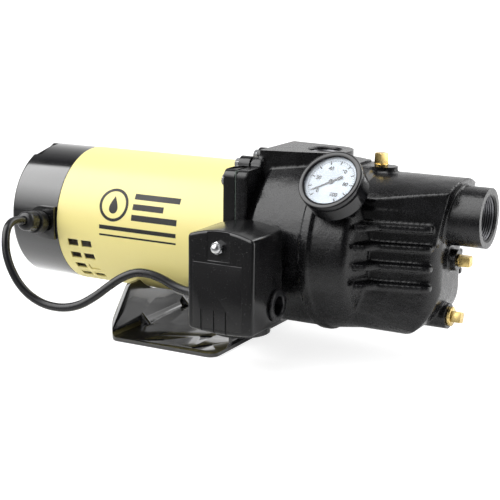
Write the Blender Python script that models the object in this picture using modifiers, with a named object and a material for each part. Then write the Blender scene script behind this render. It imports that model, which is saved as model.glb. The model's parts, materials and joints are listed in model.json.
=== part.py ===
"""Shallow well jet pump on a steel foot, with its motor, pressure gauge and pressure switch.

Lengths below are in millimetres and are scaled to metres where a mesh is made.
+X runs along the shaft towards the suction port, -Y is the gauge side and +Z is up.
The origin is the centre of the foot's underside, below the shaft.
"""
from math import asin, cos, degrees, pi, radians, sin

import bmesh
import bpy
from mathutils import Matrix, Vector

MM = 0.001
GAP = 0.3  # clearance left between neighbouring pieces
X_AXIS, Y_AXIS, Z_AXIS = Vector((1, 0, 0)), Vector((0, 1, 0)), Vector((0, 0, 1))

# ---- driving dimensions -------------------------------------------------------------------
SHAFT_Z = 110.0  # height of the shaft's axis
MOTOR_R = 74.6
SHELL_WALL = 1.8
CAP_REAR_X, CAP_SEAM_X = -214.7, -152.0
FLANGE_X = 59.0  # rear face of the adapter's square flange, where the motor shell ends
JOINT_X = 72.0  # joint face between the adapter and the pump casing
CASING_FLANGE_END_X = 85.0
FLANGE_HALF = 79.0
VOLUTE_R, VOLUTE_X0, VOLUTE_X1 = 87.0, 91.0, 197.0
CHEST_END_X = 273.0
SUCTION_Z, SUCTION_X, SUCTION_R, SUCTION_BORE_R = 152.0, 310.0, 29.7, 20.8
DISCHARGE_X, DISCHARGE_TOP_Z, DISCHARGE_BORE_R = 133.2, 205.5, 16.6
PLATEAU_Z = 194.0
EJECTOR_Z = 107.0  # axis of the jet access plug
DRAIN_Z = 49.0
FOOT_X0, FOOT_X1, FOOT_HALF_Y, FOOT_T = -65.0, 65.0, 106.6, 4.0
SADDLE_TOP_Z = 53.0

GAUGE_CENTRE = Vector((184.0, -93.0, 190.0))  # centre of the dial's face
GAUGE_YAW, GAUGE_TILT = radians(-4.5), radians(41)
GAUGE_CASE_R, GAUGE_DIAL_R, GAUGE_DEPTH = 32.0, 26.6, 27.0

SWITCH_X0, SWITCH_X1 = 63.0, 135.0
SWITCH_FRONT_Y, SWITCH_BACK_Y = -155.0, -90.0
SWITCH_Z0, SWITCH_Z1, SWITCH_ARCH = 45.0, 137.5, 7.0
INLET_Y, INLET_Z = -107.0, 66.0  # the two wiring inlets in the switch's sides
NUT_X, NUT_Z = 97.0, 128.0

CORD_R = 4.4
STACK_X0, STACK_X1 = -82.0, 5.0  # the stator and rotor laminations
THROUGH_BOLT_R, THROUGH_BOLT_CIRCLE = 2.7, 67.6
CORNER_BOLT = 66.0
CASING_BOLTS = [(-CORNER_BOLT, CORNER_BOLT), (CORNER_BOLT, CORNER_BOLT), (CORNER_BOLT, -CORNER_BOLT),
                (-CORNER_BOLT, -CORNER_BOLT), (-40.0, 79.0), (0.0, 82.5), (40.0, 79.0)]
TOP_BOLTS = CASING_BOLTS[4:]

# Route of the lead's centre line between the motor's gland and the switch's strain relief.
LEAD_ROUTE = [(-167.2, -112.8, 118.0), (-167.9, -120.8, 119.8), (-168.2, -130.8, 119.8), (-166.2, -141, 115.0),
              (-163.2, -148, 104.6), (-159.6, -151.6, 90.4), (-152.9, -153, 75.2), (-143.2, -152.6, 60.6),
              (-130.6, -151, 49.2), (-114.5, -148, 41.6), (-95.5, -144.4, 39.6), (-77.5, -139.6, 43.6),
              (-61.5, -133.6, 53.4), (-47.5, -127.6, 65.2), (-34.4, -122, 75.0), (-21.2, -117, 80.4),
              (-7.6, -113, 80.0), (5.6, -110, 76.0), (18.2, -108.2, 70.4), (29.0, -107.2, 67.2),
              (38.0, -107, 66.1), (44.0, -107, 66.0)]

MODEL = bpy.data.collections.new("shallow_well_jet_pump")


# ---- small modelling tools ----------------------------------------------------------------
def clear_scene():
    for thing in list(bpy.data.objects):
        bpy.data.objects.remove(thing, do_unlink=True)
    bpy.context.scene.collection.children.link(MODEL)


def material(name, colour, roughness, metallic=0.0, alpha=1.0):
    made = bpy.data.materials.new(name)
    made.use_nodes = True
    shader = made.node_tree.nodes["Principled BSDF"]
    shader.inputs["Base Color"].default_value = (*colour, 1.0)
    shader.inputs["Roughness"].default_value = roughness
    shader.inputs["Metallic"].default_value = metallic
    shader.inputs["Alpha"].default_value = alpha
    made.diffuse_color = (*colour, alpha)
    return made


def facing(direction, spin=0.0):
    """Rotation that takes local +Z to a direction, after a spin about local Z."""
    turn = Vector(direction).normalized().to_track_quat("Z", "Y").to_matrix().to_4x4()
    return turn @ Matrix.Rotation(spin, 4, "Z")


def added(name, data):
    thing = bpy.data.objects.new(name, data)
    MODEL.objects.link(thing)
    return thing


def frozen(thing):
    """The object as one plain mesh in world space, welded and with its faces pointing out."""
    bpy.context.view_layer.update()
    graph = bpy.context.evaluated_depsgraph_get()
    mesh = bpy.data.meshes.new_from_object(thing.evaluated_get(graph), depsgraph=graph)
    mesh.transform(thing.matrix_world)
    form = bmesh.new()
    form.from_mesh(mesh)
    bmesh.ops.remove_doubles(form, verts=form.verts, dist=0.0000005)
    bmesh.ops.recalc_face_normals(form, faces=form.faces)
    form.to_mesh(mesh)
    form.free()
    name = thing.name
    bpy.data.objects.remove(thing, do_unlink=True)
    return added(name, mesh)


def cylinder(name, start, direction, length, radius, sides=32, end_radius=None, spin=0.0):
    """A cylinder or cone from its start point along a direction."""
    form = bmesh.new()
    last = radius if end_radius is None else end_radius
    bmesh.ops.create_cone(form, cap_ends=True, segments=sides, radius1=radius * MM, radius2=last * MM,
                          depth=length * MM)
    centre = Vector(start) + Vector(direction).normalized() * length / 2
    form.transform(Matrix.Translation(centre * MM) @ facing(direction, spin))
    mesh = bpy.data.meshes.new(name)
    form.to_mesh(mesh)
    form.free()
    return added(name, mesh)


def box(name, low, high, bevel=0.0, segments=2, spin=None):
    """A box between two corners; spin is (angle, axis) about the box's own centre."""
    low, high = Vector(low), Vector(high)
    form = bmesh.new()
    bmesh.ops.create_cube(form, size=1.0)
    bmesh.ops.scale(form, vec=(high - low) * MM, verts=form.verts)
    mesh = bpy.data.meshes.new(name)
    turn = Matrix.Rotation(spin[0], 4, spin[1]) if spin else Matrix.Identity(4)
    form.transform(turn)
    form.to_mesh(mesh)
    form.free()
    thing = added(name, mesh)
    thing.location = (low + high) / 2 * MM
    if bevel:
        rounding = thing.modifiers.new("rounding", "BEVEL")
        rounding.width = bevel * MM
        rounding.segments = segments
    return frozen(thing)


def turned(name, profile, start, direction, steps=24, closed=True):
    """A turned piece: profile points are (radius, distance along the axis from start)."""
    mesh = bpy.data.meshes.new(name)
    count = len(profile)
    edges = [(i, i + 1) for i in range(count - 1)] + ([(count - 1, 0)] if closed else [])
    mesh.from_pydata([(r * MM, 0, h * MM) for r, h in profile], edges, [])
    thing = added(name, mesh)
    thing.matrix_world = Matrix.Translation(Vector(start) * MM) @ facing(direction)
    screw = thing.modifiers.new("turn", "SCREW")
    screw.steps = steps
    screw.render_steps = steps
    screw.use_merge_vertices = True
    screw.merge_threshold = 0.00001
    return frozen(thing)


def ring(name, outer, inner, x0, x1, steps=24, centre=(0, SHAFT_Z), chamfer=0.0):
    """A ring around an axis along X."""
    c = chamfer
    profile = [(outer, x1 - c), (outer, x0 + c), (inner, x0), (inner, x1)]
    if c:
        profile = [(outer - c, x1), (outer, x1 - c), (outer, x0 + c), (outer - c, x0), (inner, x0), (inner, x1)]
    return turned(name, profile, (0, *centre), X_AXIS, steps)


def plate(name, outlines, origin, across, up, low, high):
    """Flat outlines of (across, up) points, made solid from low to high along their normal."""
    curve = bpy.data.curves.new(name, "CURVE")
    curve.dimensions = "2D"
    curve.fill_mode = "BOTH"
    curve.render_resolution_u = 0
    curve.extrude = (high - low) / 2 * MM
    for outline in outlines:
        spline = curve.splines.new("POLY")
        spline.points.add(len(outline) - 1)
        for point, (u, v) in zip(spline.points, outline):
            point.co = (u * MM, v * MM, 0, 1)
        spline.use_cyclic_u = True
    thing = added(name, curve)
    across, up = Vector(across), Vector(up)
    normal = across.cross(up)
    middle = Vector(origin) + normal * (low + high) / 2
    frame = Matrix((across, up, normal)).transposed().to_4x4()
    thing.matrix_world = Matrix.Translation(middle * MM) @ frame
    return frozen(thing)


def tube(name, points, radius, resolution=2, cyclic=False):
    curve = bpy.data.curves.new(name, "CURVE")
    curve.dimensions = "3D"
    curve.bevel_depth = radius * MM
    curve.bevel_resolution = resolution
    curve.render_resolution_u = 0
    curve.use_fill_caps = True
    spline = curve.splines.new("POLY")
    spline.points.add(len(points) - 1)
    for point, place in zip(spline.points, points):
        point.co = (*(Vector(place) * MM), 1)
    spline.use_cyclic_u = cyclic
    return frozen(added(name, curve))


def smooth_route(route, spacing):
    """Points a fixed distance apart on a smooth curve through the route's points."""
    knots = [Vector(p) for p in route]
    ends = [2 * knots[0] - knots[1]] + knots + [2 * knots[-1] - knots[-2]]
    fine = []
    for a, b, c, d in zip(ends, ends[1:], ends[2:], ends[3:]):
        for step in range(20):
            t = step / 20
            fine.append(0.5 * (2 * b + (c - a) * t + (2 * a - 5 * b + 4 * c - d) * t ** 2
                               + (3 * b - a - 3 * c + d) * t ** 3))
    fine.append(knots[-1])
    lengths = [(q - p).length for p, q in zip(fine, fine[1:])]
    count = round(sum(lengths) / spacing)
    points, walked, goal = [fine[0]], 0.0, sum(lengths) / count
    for start, end, length in zip(fine, fine[1:], lengths):
        while walked + length >= goal * len(points) and len(points) < count:
            points.append(start.lerp(end, (goal * len(points) - walked) / length))
        walked += length
    return points + [fine[-1]]


def combine(base, others, operation):
    """One EXACT boolean of the base with several others, which are used up."""
    group = bpy.data.collections.new("operands")
    MODEL.children.link(group)
    for other in others:
        MODEL.objects.unlink(other)
        group.objects.link(other)
    step = base.modifiers.new("combine", "BOOLEAN")
    step.operation = operation
    step.solver = "EXACT"
    step.operand_type = "COLLECTION"
    step.collection = group
    made = frozen(base)
    for other in others:
        bpy.data.objects.remove(other, do_unlink=True)
    bpy.data.collections.remove(group)
    return made


def joined(name, pieces):
    made = combine(pieces[0], pieces[1:], "UNION")
    made.name = name
    return made


def cut(base, cutters):
    return combine(base, cutters, "DIFFERENCE")


def finish(thing, look, smooth_angle=35):
    thing.data.materials.clear()
    thing.data.materials.append(look)
    thing.data.shade_smooth()
    thing.data.set_sharp_from_angle(angle=radians(smooth_angle))
    return thing


def arc(centre, radius, start, end, steps):
    """Points on a circular arc, angles in degrees."""
    angles = [radians(start + (end - start) * i / steps) for i in range(steps + 1)]
    return [(centre[0] + radius * cos(a), centre[1] + radius * sin(a)) for a in angles]


def around(radius, angle, x=0.0):
    """A point at a radius and angle (from +Y towards +Z) around the shaft's axis."""
    return Vector((x, radius * cos(angle), SHAFT_Z + radius * sin(angle)))


def hex_bolt(name, start, direction, head_r, head_h, shank_r, shank_l):
    head = cylinder(name, Vector(start) - Vector(direction) * head_h, direction, head_h, head_r, 6)
    shank = cylinder("shank", Vector(start) - Vector(direction) * 1.0, direction, shank_l + 1.0, shank_r, 12)
    return joined(name, [head, shank])


def pivot(name, place, pieces):
    """An empty on a joint's axis that carries the pieces moved by it."""
    empty = added(name, None)
    empty.location = Vector(place) * MM
    empty.empty_display_size = 0.02
    bpy.context.view_layer.update()
    for piece in pieces:
        piece.parent = empty
        piece.matrix_parent_inverse = empty.matrix_world.inverted()


# ---- motor --------------------------------------------------------------------------------
def motor_shell():
    shell = ring("motor_shell", MOTOR_R, MOTOR_R - SHELL_WALL, CAP_SEAM_X, FLANGE_X - GAP, 40)
    vents = []
    for side in (-1, 1):
        for x in (-132.5, -115.0):
            for angle in (15, 27.5, 40, 52.5):
                a = -radians(angle) if side > 0 else pi + radians(angle)
                centre = around(MOTOR_R, a, x)
                half = Vector((6.6, 4.0, 4.1))
                vents.append(box("vent", centre - half, centre + half, spin=(a, "X")))
    return finish(cut(shell, vents), CREAM)


def rear_cap():
    wall, corner = 1.2, 5.0
    r = MOTOR_R - 0.2
    x0, x1 = CAP_REAR_X, CAP_SEAM_X - GAP
    outer = arc((r - corner, x0 + corner), corner, 0, -90, 3)
    inner = arc((r - corner, x0 + corner), corner - wall, -90, 0, 3)
    profile = [(0, x0 + wall)] + inner + [(r - wall, x1), (r, x1)] + outer + [(0, x0)]
    cap = turned("rear_cap", profile, (0, 0, SHAFT_Z), X_AXIS, 40, closed=False)
    # flat pad on the gauge side, with a round rear end, that carries the cord gland
    outline = [(-154.0, 92.0), (-154.0, 128.0)] + arc((-170.0, SHAFT_Z), 18.0, 90, 270, 8)
    pad = plate("pad", [outline], (0, 0, 0), X_AXIS, Z_AXIS, 72.0, 77.4)
    seat = cylinder("seat", GLAND_BASE - GLAND_AXIS * 5, GLAND_AXIS, 8.6, 8.2, 20)
    gland_hole = cylinder("hole", GLAND_BASE - GLAND_AXIS * 20, GLAND_AXIS, 40.0, 6.6, 16)
    # lifting notch in the rear edge, just on the gauge side of the top
    place, half = around(r + 1.5, radians(103), x0 + 3), Vector((9.0, 18.0, 7.0))
    notch = box("notch", place - half, place + half, spin=(radians(13), "X"))
    return finish(cut(joined("rear_cap", [cap, pad, seat]), [gland_hole, notch]), BLACK)


def rear_end_bell():
    x = CAP_SEAM_X + 0.3
    profile = [(MOTOR_R - SHELL_WALL - GAP, x + 8), (MOTOR_R - SHELL_WALL - GAP, x), (9.2, x), (9.2, x + 3.6),
               (20.3, x + 3.6), (20.3, x + 18), (25.5, x + 18), (25.5, x + 4.4), (62.0, x + 4.4), (63.0, x + 8)]
    bell = turned("rear_end_bell", profile, (0, 0, SHAFT_Z), X_AXIS)
    return finish(cut(bell, through_holes(x - 2, 14)), ALUMINIUM)


def through_holes(x, length):
    return [cylinder("hole", around(THROUGH_BOLT_CIRCLE, pi / 4 + i * pi / 2, x), X_AXIS, length,
                     THROUGH_BOLT_R + 2 * GAP, 8) for i in range(4)]


def stator():
    core = ring("stator_core", MOTOR_R - SHELL_WALL - GAP, 41.6, STACK_X0, STACK_X1)
    finish(cut(core, through_holes(STACK_X0 - 2, STACK_X1 - STACK_X0 + 4)), STEEL)
    for name, x0, x1 in (("winding_rear", STACK_X0 - 24, STACK_X0 - GAP),
                         ("winding_front", STACK_X1 + GAP, STACK_X1 + 22)):
        finish(ring(name, 61.5, 45.5, x0, x1, chamfer=5), COPPER)


def through_bolts():
    for i in range(4):
        seat = around(THROUGH_BOLT_CIRCLE, pi / 4 + i * pi / 2, CAP_SEAM_X)
        bolt = hex_bolt(f"through_bolt_{i + 1}", seat, X_AXIS, 5.2, 4.0, THROUGH_BOLT_R, 208)
        finish(bolt, STEEL)


def rotor():
    finish(ring("rotor_core", 41.0, 9.3, STACK_X0, STACK_X1), STEEL)
    profile = [(0, 100), (5.0, 100), (6.0, 99), (6.0, 77.8), (8.2, 77.8), (8.2, 40), (9.0, 40), (9.0, -130),
               (8.2, -130), (8.2, -151), (0, -151)]
    finish(turned("motor_shaft", profile, (0, 0, SHAFT_Z), X_AXIS, 24, closed=False), STEEL)
    finish(ring("rear_bearing", 20.0, 8.5, -147.8, -135.8), STEEL)
    finish(ring("front_bearing", 20.0, 8.5, 42, 54), STEEL)
    finish(ring("water_slinger", 17.0, 8.5, 55.3, 57.6, 24), RUBBER)


def governor():
    """Collar of the starting switch: it rides on the shaft and slides as the motor comes up to speed."""
    profile = [(30, -122), (30, -125), (13, -126.5), (13, -129.4), (9.3, -129.4), (9.3, -119.5), (20, -119.5)]
    return finish(turned("governor_collar", profile, (0, 0, SHAFT_Z), X_AXIS), STEEL)


def start_switch():
    board = box("start_switch", (-146.5, 30, 92), (-143, 58, 128), bevel=0.6, segments=1)
    arm = box("arm", (-144, 33, 106), (-131.5, 36, 114))
    pad = box("pad", (-133.5, 24, 106), (-131.5, 36, 114))
    return finish(joined("start_switch", [board, arm, pad]), PHENOLIC)


def start_capacitor():
    can = turned("start_capacitor", [(0, 74), (15.5, 74), (17.5, 72), (17.5, 2), (15.5, 0), (0, 0)],
                 (-184, -37, 146), Y_AXIS, closed=False)
    tabs = [box("tab", (-184 + dx - 3, 36, 145.4), (-184 + dx + 3, 45, 146.6)) for dx in (-7, 7)]
    return finish(joined("start_capacitor", [can] + tabs), BLACK_PLASTIC)


def cooling_fan():
    hub = ring("cooling_fan", 15.0, 9.3, 29.0, 40.0, 24)
    disc = ring("disc", 56.0, 12.0, 29.6, 31.6)
    blades = []
    for i in range(8):
        blade = box("blade", (30.5, 13.5, -1), (39, 54, 1))
        turn = Matrix.Rotation(i * pi / 4, 4, "X")
        blade.data.transform(Matrix.Translation((0, 0, SHAFT_Z * MM)) @ turn)
        blades.append(blade)
    return finish(joined("cooling_fan", [hub, disc] + blades), BLACK_PLASTIC)


# ---- adapter and shaft seal ---------------------------------------------------------------
def flange_plate(name, x0, x1):
    """The square flange shared by adapter and casing, with ears for the three top bolts."""
    half, corner = FLANGE_HALF, 8.0
    outline = []
    for sy, sz, start in ((1, 1, 0), (-1, 1, 90), (-1, -1, 180), (1, -1, 270)):
        outline += arc((sy * (half - corner), SHAFT_Z + sz * (half - corner)), corner, start, start + 90, 3)
    pieces = [plate(name, [outline], (0, 0, 0), Y_AXIS, Z_AXIS, x0, x1)]
    pieces += [cylinder("ear", (x0 + 0.4, y, SHAFT_Z + z), X_AXIS, x1 - x0 - 0.8, 9.0, 16) for y, z in TOP_BOLTS]
    return joined(name, pieces)


def bolt_holes(x, length, radius):
    return [cylinder("hole", (x, y, SHAFT_Z + z), X_AXIS, length, radius, 8) for y, z in CASING_BOLTS]


def adapter():
    body = flange_plate("adapter_bracket", FLANGE_X, JOINT_X - 0.6)
    spigot_r = MOTOR_R - SHELL_WALL - GAP
    spigot = ring("spigot", spigot_r, 60.0, 50.0, FLANGE_X + 1.5)
    hub = ring("hub", 27.0, 7.0, 41.0, FLANGE_X + 1)
    body = joined("adapter_bracket", [body, spigot, hub])
    cutters = bolt_holes(FLANGE_X - 1, 20, 4.5) + through_holes(48, 9.5)
    cutters.append(cylinder("housing", (40, 0, SHAFT_Z), X_AXIS, 18.5, 20.5, 24))
    cutters.append(cylinder("shaft_hole", (40, 0, SHAFT_Z), X_AXIS, 40, 8.9, 24))
    cutters.append(cylinder("seal_recess", (64, 0, SHAFT_Z), X_AXIS, 10, 19.6, 24))
    cutters += [cylinder("hole", (FLANGE_X - 1, y, FOOT_BOLT_Z), X_AXIS, 9, 3.5, 12) for y in FOOT_BOLT_Y]
    return finish(cut(body, cutters), CAST)


def shaft_seal():
    finish(ring("seal_seat", 19.0, 9.2, 64.3, 70.0), CERAMIC)
    profile = [(14, 70.3), (14, 72), (12, 73.4), (13.6, 75), (13.6, 77.4), (8.5, 77.4), (8.5, 70.3)]
    finish(turned("seal_head", profile, (0, 0, SHAFT_Z), X_AXIS), RUBBER)


def casing_gasket():
    half = FLANGE_HALF - 1.0
    square = [(-half, SHAFT_Z - half), (half, SHAFT_Z - half), (half, SHAFT_Z + half), (-half, SHAFT_Z + half)]
    hole = arc((0, SHAFT_Z), 71.0, 0, 345, 23)
    sheet = plate("casing_gasket", [square, hole], (0, 0, 0), Y_AXIS, Z_AXIS, JOINT_X - 0.3, JOINT_X + 0.5)
    return finish(cut(sheet, bolt_holes(JOINT_X - 2, 5, 4.5)), GASKET)


# ---- pump casing and its inner parts ------------------------------------------------------
def chest_plan(z0, z1, taper, end, corner):
    """Plan outline of the casing's front; taper is (half width at the back, half width at the end)."""
    back, front = taper
    near = arc((end - corner, -(front - corner)), corner, -75, 0, 4)
    far = arc((end - corner, front - corner), corner, 0, 75, 4)
    outline = [(150.0, -back), (212.0, -back)] + near + far + [(212.0, back), (150.0, back)]
    return plate("plan", [outline], (0, 0, 0), X_AXIS, Y_AXIS, z0, z1)


def chest():
    """Front chest that holds the jet: plan, side and front outlines crossed with each other."""
    body = chest_plan(10.0, 160.0, (55.0, 45.0), CHEST_END_X, 23.0)
    nose = [(230.0 + 43.0 * sin(a), 84.0 - 53.0 * cos(a)) for a in (i * pi / 12 for i in range(7))]
    side = [(140.0, 31.0)] + nose + [(CHEST_END_X, 165.0), (140.0, 165.0)]
    body = combine(body, [plate("side", [side], (0, 0, 0), X_AXIS, Z_AXIS, -70.0, 70.0)], "INTERSECT")
    half, belly = 58.0, 38.0
    front = (arc((belly - half, 31.0 + belly), belly, 180, 270, 6) + arc((half - belly, 31.0 + belly), belly, 270, 360, 6)
             + [(half, 170.0), (-half, 170.0)])
    return combine(body, [plate("front", [front], (0, 0, 0), Y_AXIS, Z_AXIS, 140.0, 290.0)], "INTERSECT")


def jet_housing():
    """Top of the chest: an arched roof over tapering sides, with an end face that leans back."""
    body = chest_plan(120.0, 195.0, (54.0, 38.5), 287.0, 5.0)
    roof_r = 85.0
    roof = cylinder("roof", (140, 0, 188.5 - roof_r), X_AXIS, 160, roof_r, 96)
    side = [(140.0, 125.0), (CHEST_END_X - 2, 125.0), (CHEST_END_X + 1.5, 142.0), (287.0, 192.0), (140.0, 192.0)]
    body = combine(body, [roof], "INTERSECT")
    body = combine(body, [plate("side", [side], (0, 0, 0), X_AXIS, Z_AXIS, -70.0, 70.0)], "INTERSECT")
    rounding = body.modifiers.new("rounding", "BEVEL")
    rounding.width = 2.5 * MM
    rounding.segments = 1
    rounding.limit_method = "ANGLE"
    rounding.angle_limit = radians(30)
    return frozen(body)


def volute():
    r, x0, x1, edge = VOLUTE_R, VOLUTE_X0, VOLUTE_X1, 9.0
    profile = ([(0, x1 + 12), (r - 28, x1 + 12), (r - 14, x1 + 2)]
               + arc((r - 4 - edge, x1 - edge), edge, 60, 0, 2)
               + [(r, 158), (r, x0 + 3), (r - 3, x0), (r - 13, x0 - 2), (r - 13, x0 - 12), (0, x0 - 12)])
    return turned("volute", profile, (0, 0, SHAFT_Z), X_AXIS, 36, closed=False)


def discharge_block():
    round_r = 29.0
    outline = ([(80, -43), (80, 35), (118, 31)] + arc((DISCHARGE_X, 1), round_r, 70, -60, 6) + [(118, -34)])
    outline.reverse()
    return plate("block", [outline], (0, 0, 0), X_AXIS, Y_AXIS, 150.0, DISCHARGE_TOP_Z)


def plateau():
    outline = ([(140, -30), (178, -14), (202, -10)] + arc((203, 0), 10.0, -80, 80, 4)
               + [(202, 10), (178, 20), (148, 35)])
    return plate("plateau", [outline], (0, 0, 0), X_AXIS, Y_AXIS, 150.0, PLATEAU_Z)


def ribs():
    """Four straight ribs on each side of the chest, which run onto the volute's shoulder."""
    made = []
    for side in (-1, 1):
        for z in (144.5, 125.0, 105.5, 86.0):
            outline = [(203, side * 44), (203, side * 75), (212, side * 72), (222, side * 60.5),
                       (266, side * 49.5), (268, side * 40)]
            if side > 0:
                outline.reverse()
            made.append(plate("rib", [outline], (0, 0, 0), X_AXIS, Y_AXIS, z - 2.6, z + 2.6))
    return made


def pump_casing():
    flange = flange_plate("pump_casing", JOINT_X + 0.8, CASING_FLANGE_END_X)
    band = ring("band", VOLUTE_R + 2.2, VOLUTE_R - 3, 149, 158, 36)
    gauge_boss = cylinder("boss", GAUGE_CENTRE - GAUGE_N * 44, GAUGE_N, 15, 14.0, 16)
    bosses = [cylinder("boss", (250, 0, EJECTOR_Z), X_AXIS, 31, 10.5, 16),
              cylinder("boss", (232, 0, DRAIN_Z), X_AXIS, 42, 12.6, 16),
              cylinder("boss", (PORT_X, -60, PORT_Z), -Y_AXIS, 28.4, 12.0, 16)]
    suction = turned("suction", [(0, SUCTION_X), (SUCTION_R - 1.5, SUCTION_X), (SUCTION_R, SUCTION_X - 1.5),
                                 (SUCTION_R, 258), (0, 258)], (0, 0, SUCTION_Z), X_AXIS, 36, closed=False)
    solids = [volute(), chest(), jet_housing(), discharge_block(), plateau(), band, gauge_boss, suction]
    body = joined("pump_casing", [flange] + solids + bosses + ribs())
    cutters = [
        turned("pressure_chamber", [(0, 191), (66, 191), (80, 180), (80, 99), (69, 93), (69, 70), (0, 70)],
               (0, 0, SHAFT_Z), X_AXIS, closed=False),
        cylinder("discharge_bore", (DISCHARGE_X, 0, 165), Z_AXIS, 60, DISCHARGE_BORE_R, 24),
        cylinder("suction_bore", (222, 0, SUCTION_Z), X_AXIS, 100, SUCTION_BORE_R, 24),
        box("suction_chamber", (199, -34, 48), (238, 34, 158), bevel=12, segments=1),
        box("jet_gallery", (244, -17, 60), (265, 17, 126), bevel=4, segments=1),
        cylinder("venturi_hole", (188, 0, SHAFT_Z), X_AXIS, 16, 12.5, 20),
        cylinder("nozzle_hole", (236, 0, SHAFT_Z), X_AXIS, 12, 12.5, 20),
        cylinder("prime_bore", (PRIME_X, 0, 166), Z_AXIS, 40, 6.7, 12),
        cylinder("prime_seat", (PRIME_X, 0, PLATEAU_Z), Z_AXIS, 8, 9.5, 20),
        cylinder("jet_plug_bore", (262, 0, EJECTOR_Z), X_AXIS, 24, 6.2, 12),
        cylinder("drain_bore", (234, 0, DRAIN_Z), X_AXIS, 46, 6.8, 12),
        cylinder("gauge_bore", GAUGE_CENTRE - GAUGE_N * 62, GAUGE_N, 34, 5.8, 12),
        cylinder("switch_bore", (PORT_X, -66, PORT_Z), -Y_AXIS, 40, 6.6, 12),
    ]
    return finish(cut(body, cutters + bolt_holes(JOINT_X - 2, 14, 3.6)), CAST, 40)


def impeller():
    z = SHAFT_Z
    back = ring("impeller", 56.0, 10.0, 80, 83)
    front = ring("front_shroud", 56.0, 21.0, 92, 95)
    eye = ring("eye", 24.5, 20.5, 92.6, 97.4)
    hub = ring("hub", 13.0, 6.3, 78.2, 97.6, 20)
    vanes = []
    for i in range(6):
        vane = box("vane", (82.2, 16, -1.1), (93.2, 54, 1.1), spin=(radians(24), "X"))
        turn = Matrix.Rotation(i * pi / 3, 4, "X")
        vane.data.transform(Matrix.Translation((0, 0, z * MM)) @ turn)
        vanes.append(vane)
    return finish(joined("impeller", [back, front, eye, hub] + vanes), PLASTIC)


def diffuser():
    profile = [(66, 76), (66, 102.5), (20, 103), (16, 120), (12.4, 120), (12.4, 98), (57.6, 98), (57.6, 76)]
    return finish(turned("diffuser", profile, (0, 0, SHAFT_Z), X_AXIS), PLASTIC)


def jet():
    venturi = [(12.0, 206), (12.0, 108), (8.5, 108), (5.0, 190), (5.0, 196), (9.0, 206)]
    finish(turned("venturi_tube", venturi, (0, 0, SHAFT_Z), X_AXIS, 20), PLASTIC)
    nozzle = [(12.0, 252), (12.0, 238), (10.5, 234), (5.5, 212), (3.0, 212), (3.0, 220), (8.0, 240), (8.0, 252)]
    finish(turned("nozzle", nozzle, (0, 0, SHAFT_Z), X_AXIS, 20), PLASTIC)


def casing_bolts():
    for i, (y, z) in enumerate(CASING_BOLTS):
        head_r = 6.2 if (y, z) in TOP_BOLTS else 7.3
        seat = (FLANGE_X - GAP, y, SHAFT_Z + z)
        finish(hex_bolt(f"casing_bolt_{i + 1}", seat, X_AXIS, head_r, 6.0, 3.2, 24), BRIGHT)


def square_plug(name, seat, direction, thread_r, collar_r, collar_h, square, head, spin):
    """A square-headed pipe plug; seat is the boss face that its collar stops at."""
    direction = Vector(direction)
    seat = Vector(seat) + direction * GAP
    thread = cylinder(name, seat - direction * 9, direction, 10, thread_r, 12)
    collar = cylinder("collar", seat, direction, collar_h, collar_r, 20)
    head_r = square / 2 * 2 ** 0.5
    block = cylinder("head", seat + direction * (collar_h - 1), direction, head + 1, head_r, 4, spin=spin)
    return finish(joined(name, [thread, collar, block]), BRASS)


# ---- foot ---------------------------------------------------------------------------------
def slot(x, y, length, width, angle):
    """Cutter for a slot with round ends in the foot's plate."""
    half, r = (length - width) / 2, width / 2
    outline = arc((half, 0), r, -90, 90, 6) + arc((-half, 0), r, 90, 270, 6)
    turn = radians(angle)
    across = Vector((cos(turn), sin(turn), 0))
    return plate("slot", [outline], (x, y, 0), across, Vector((-sin(turn), cos(turn), 0)), -3, FOOT_T + 3)


def cradle(top):
    """The hollow that clears the motor shell, from its near end to its far end at a height."""
    r = MOTOR_R + 0.5
    dip = degrees(asin((SHAFT_Z - top) / r))
    return arc((0, SHAFT_Z), r, -dip, dip - 180, 12)


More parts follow.
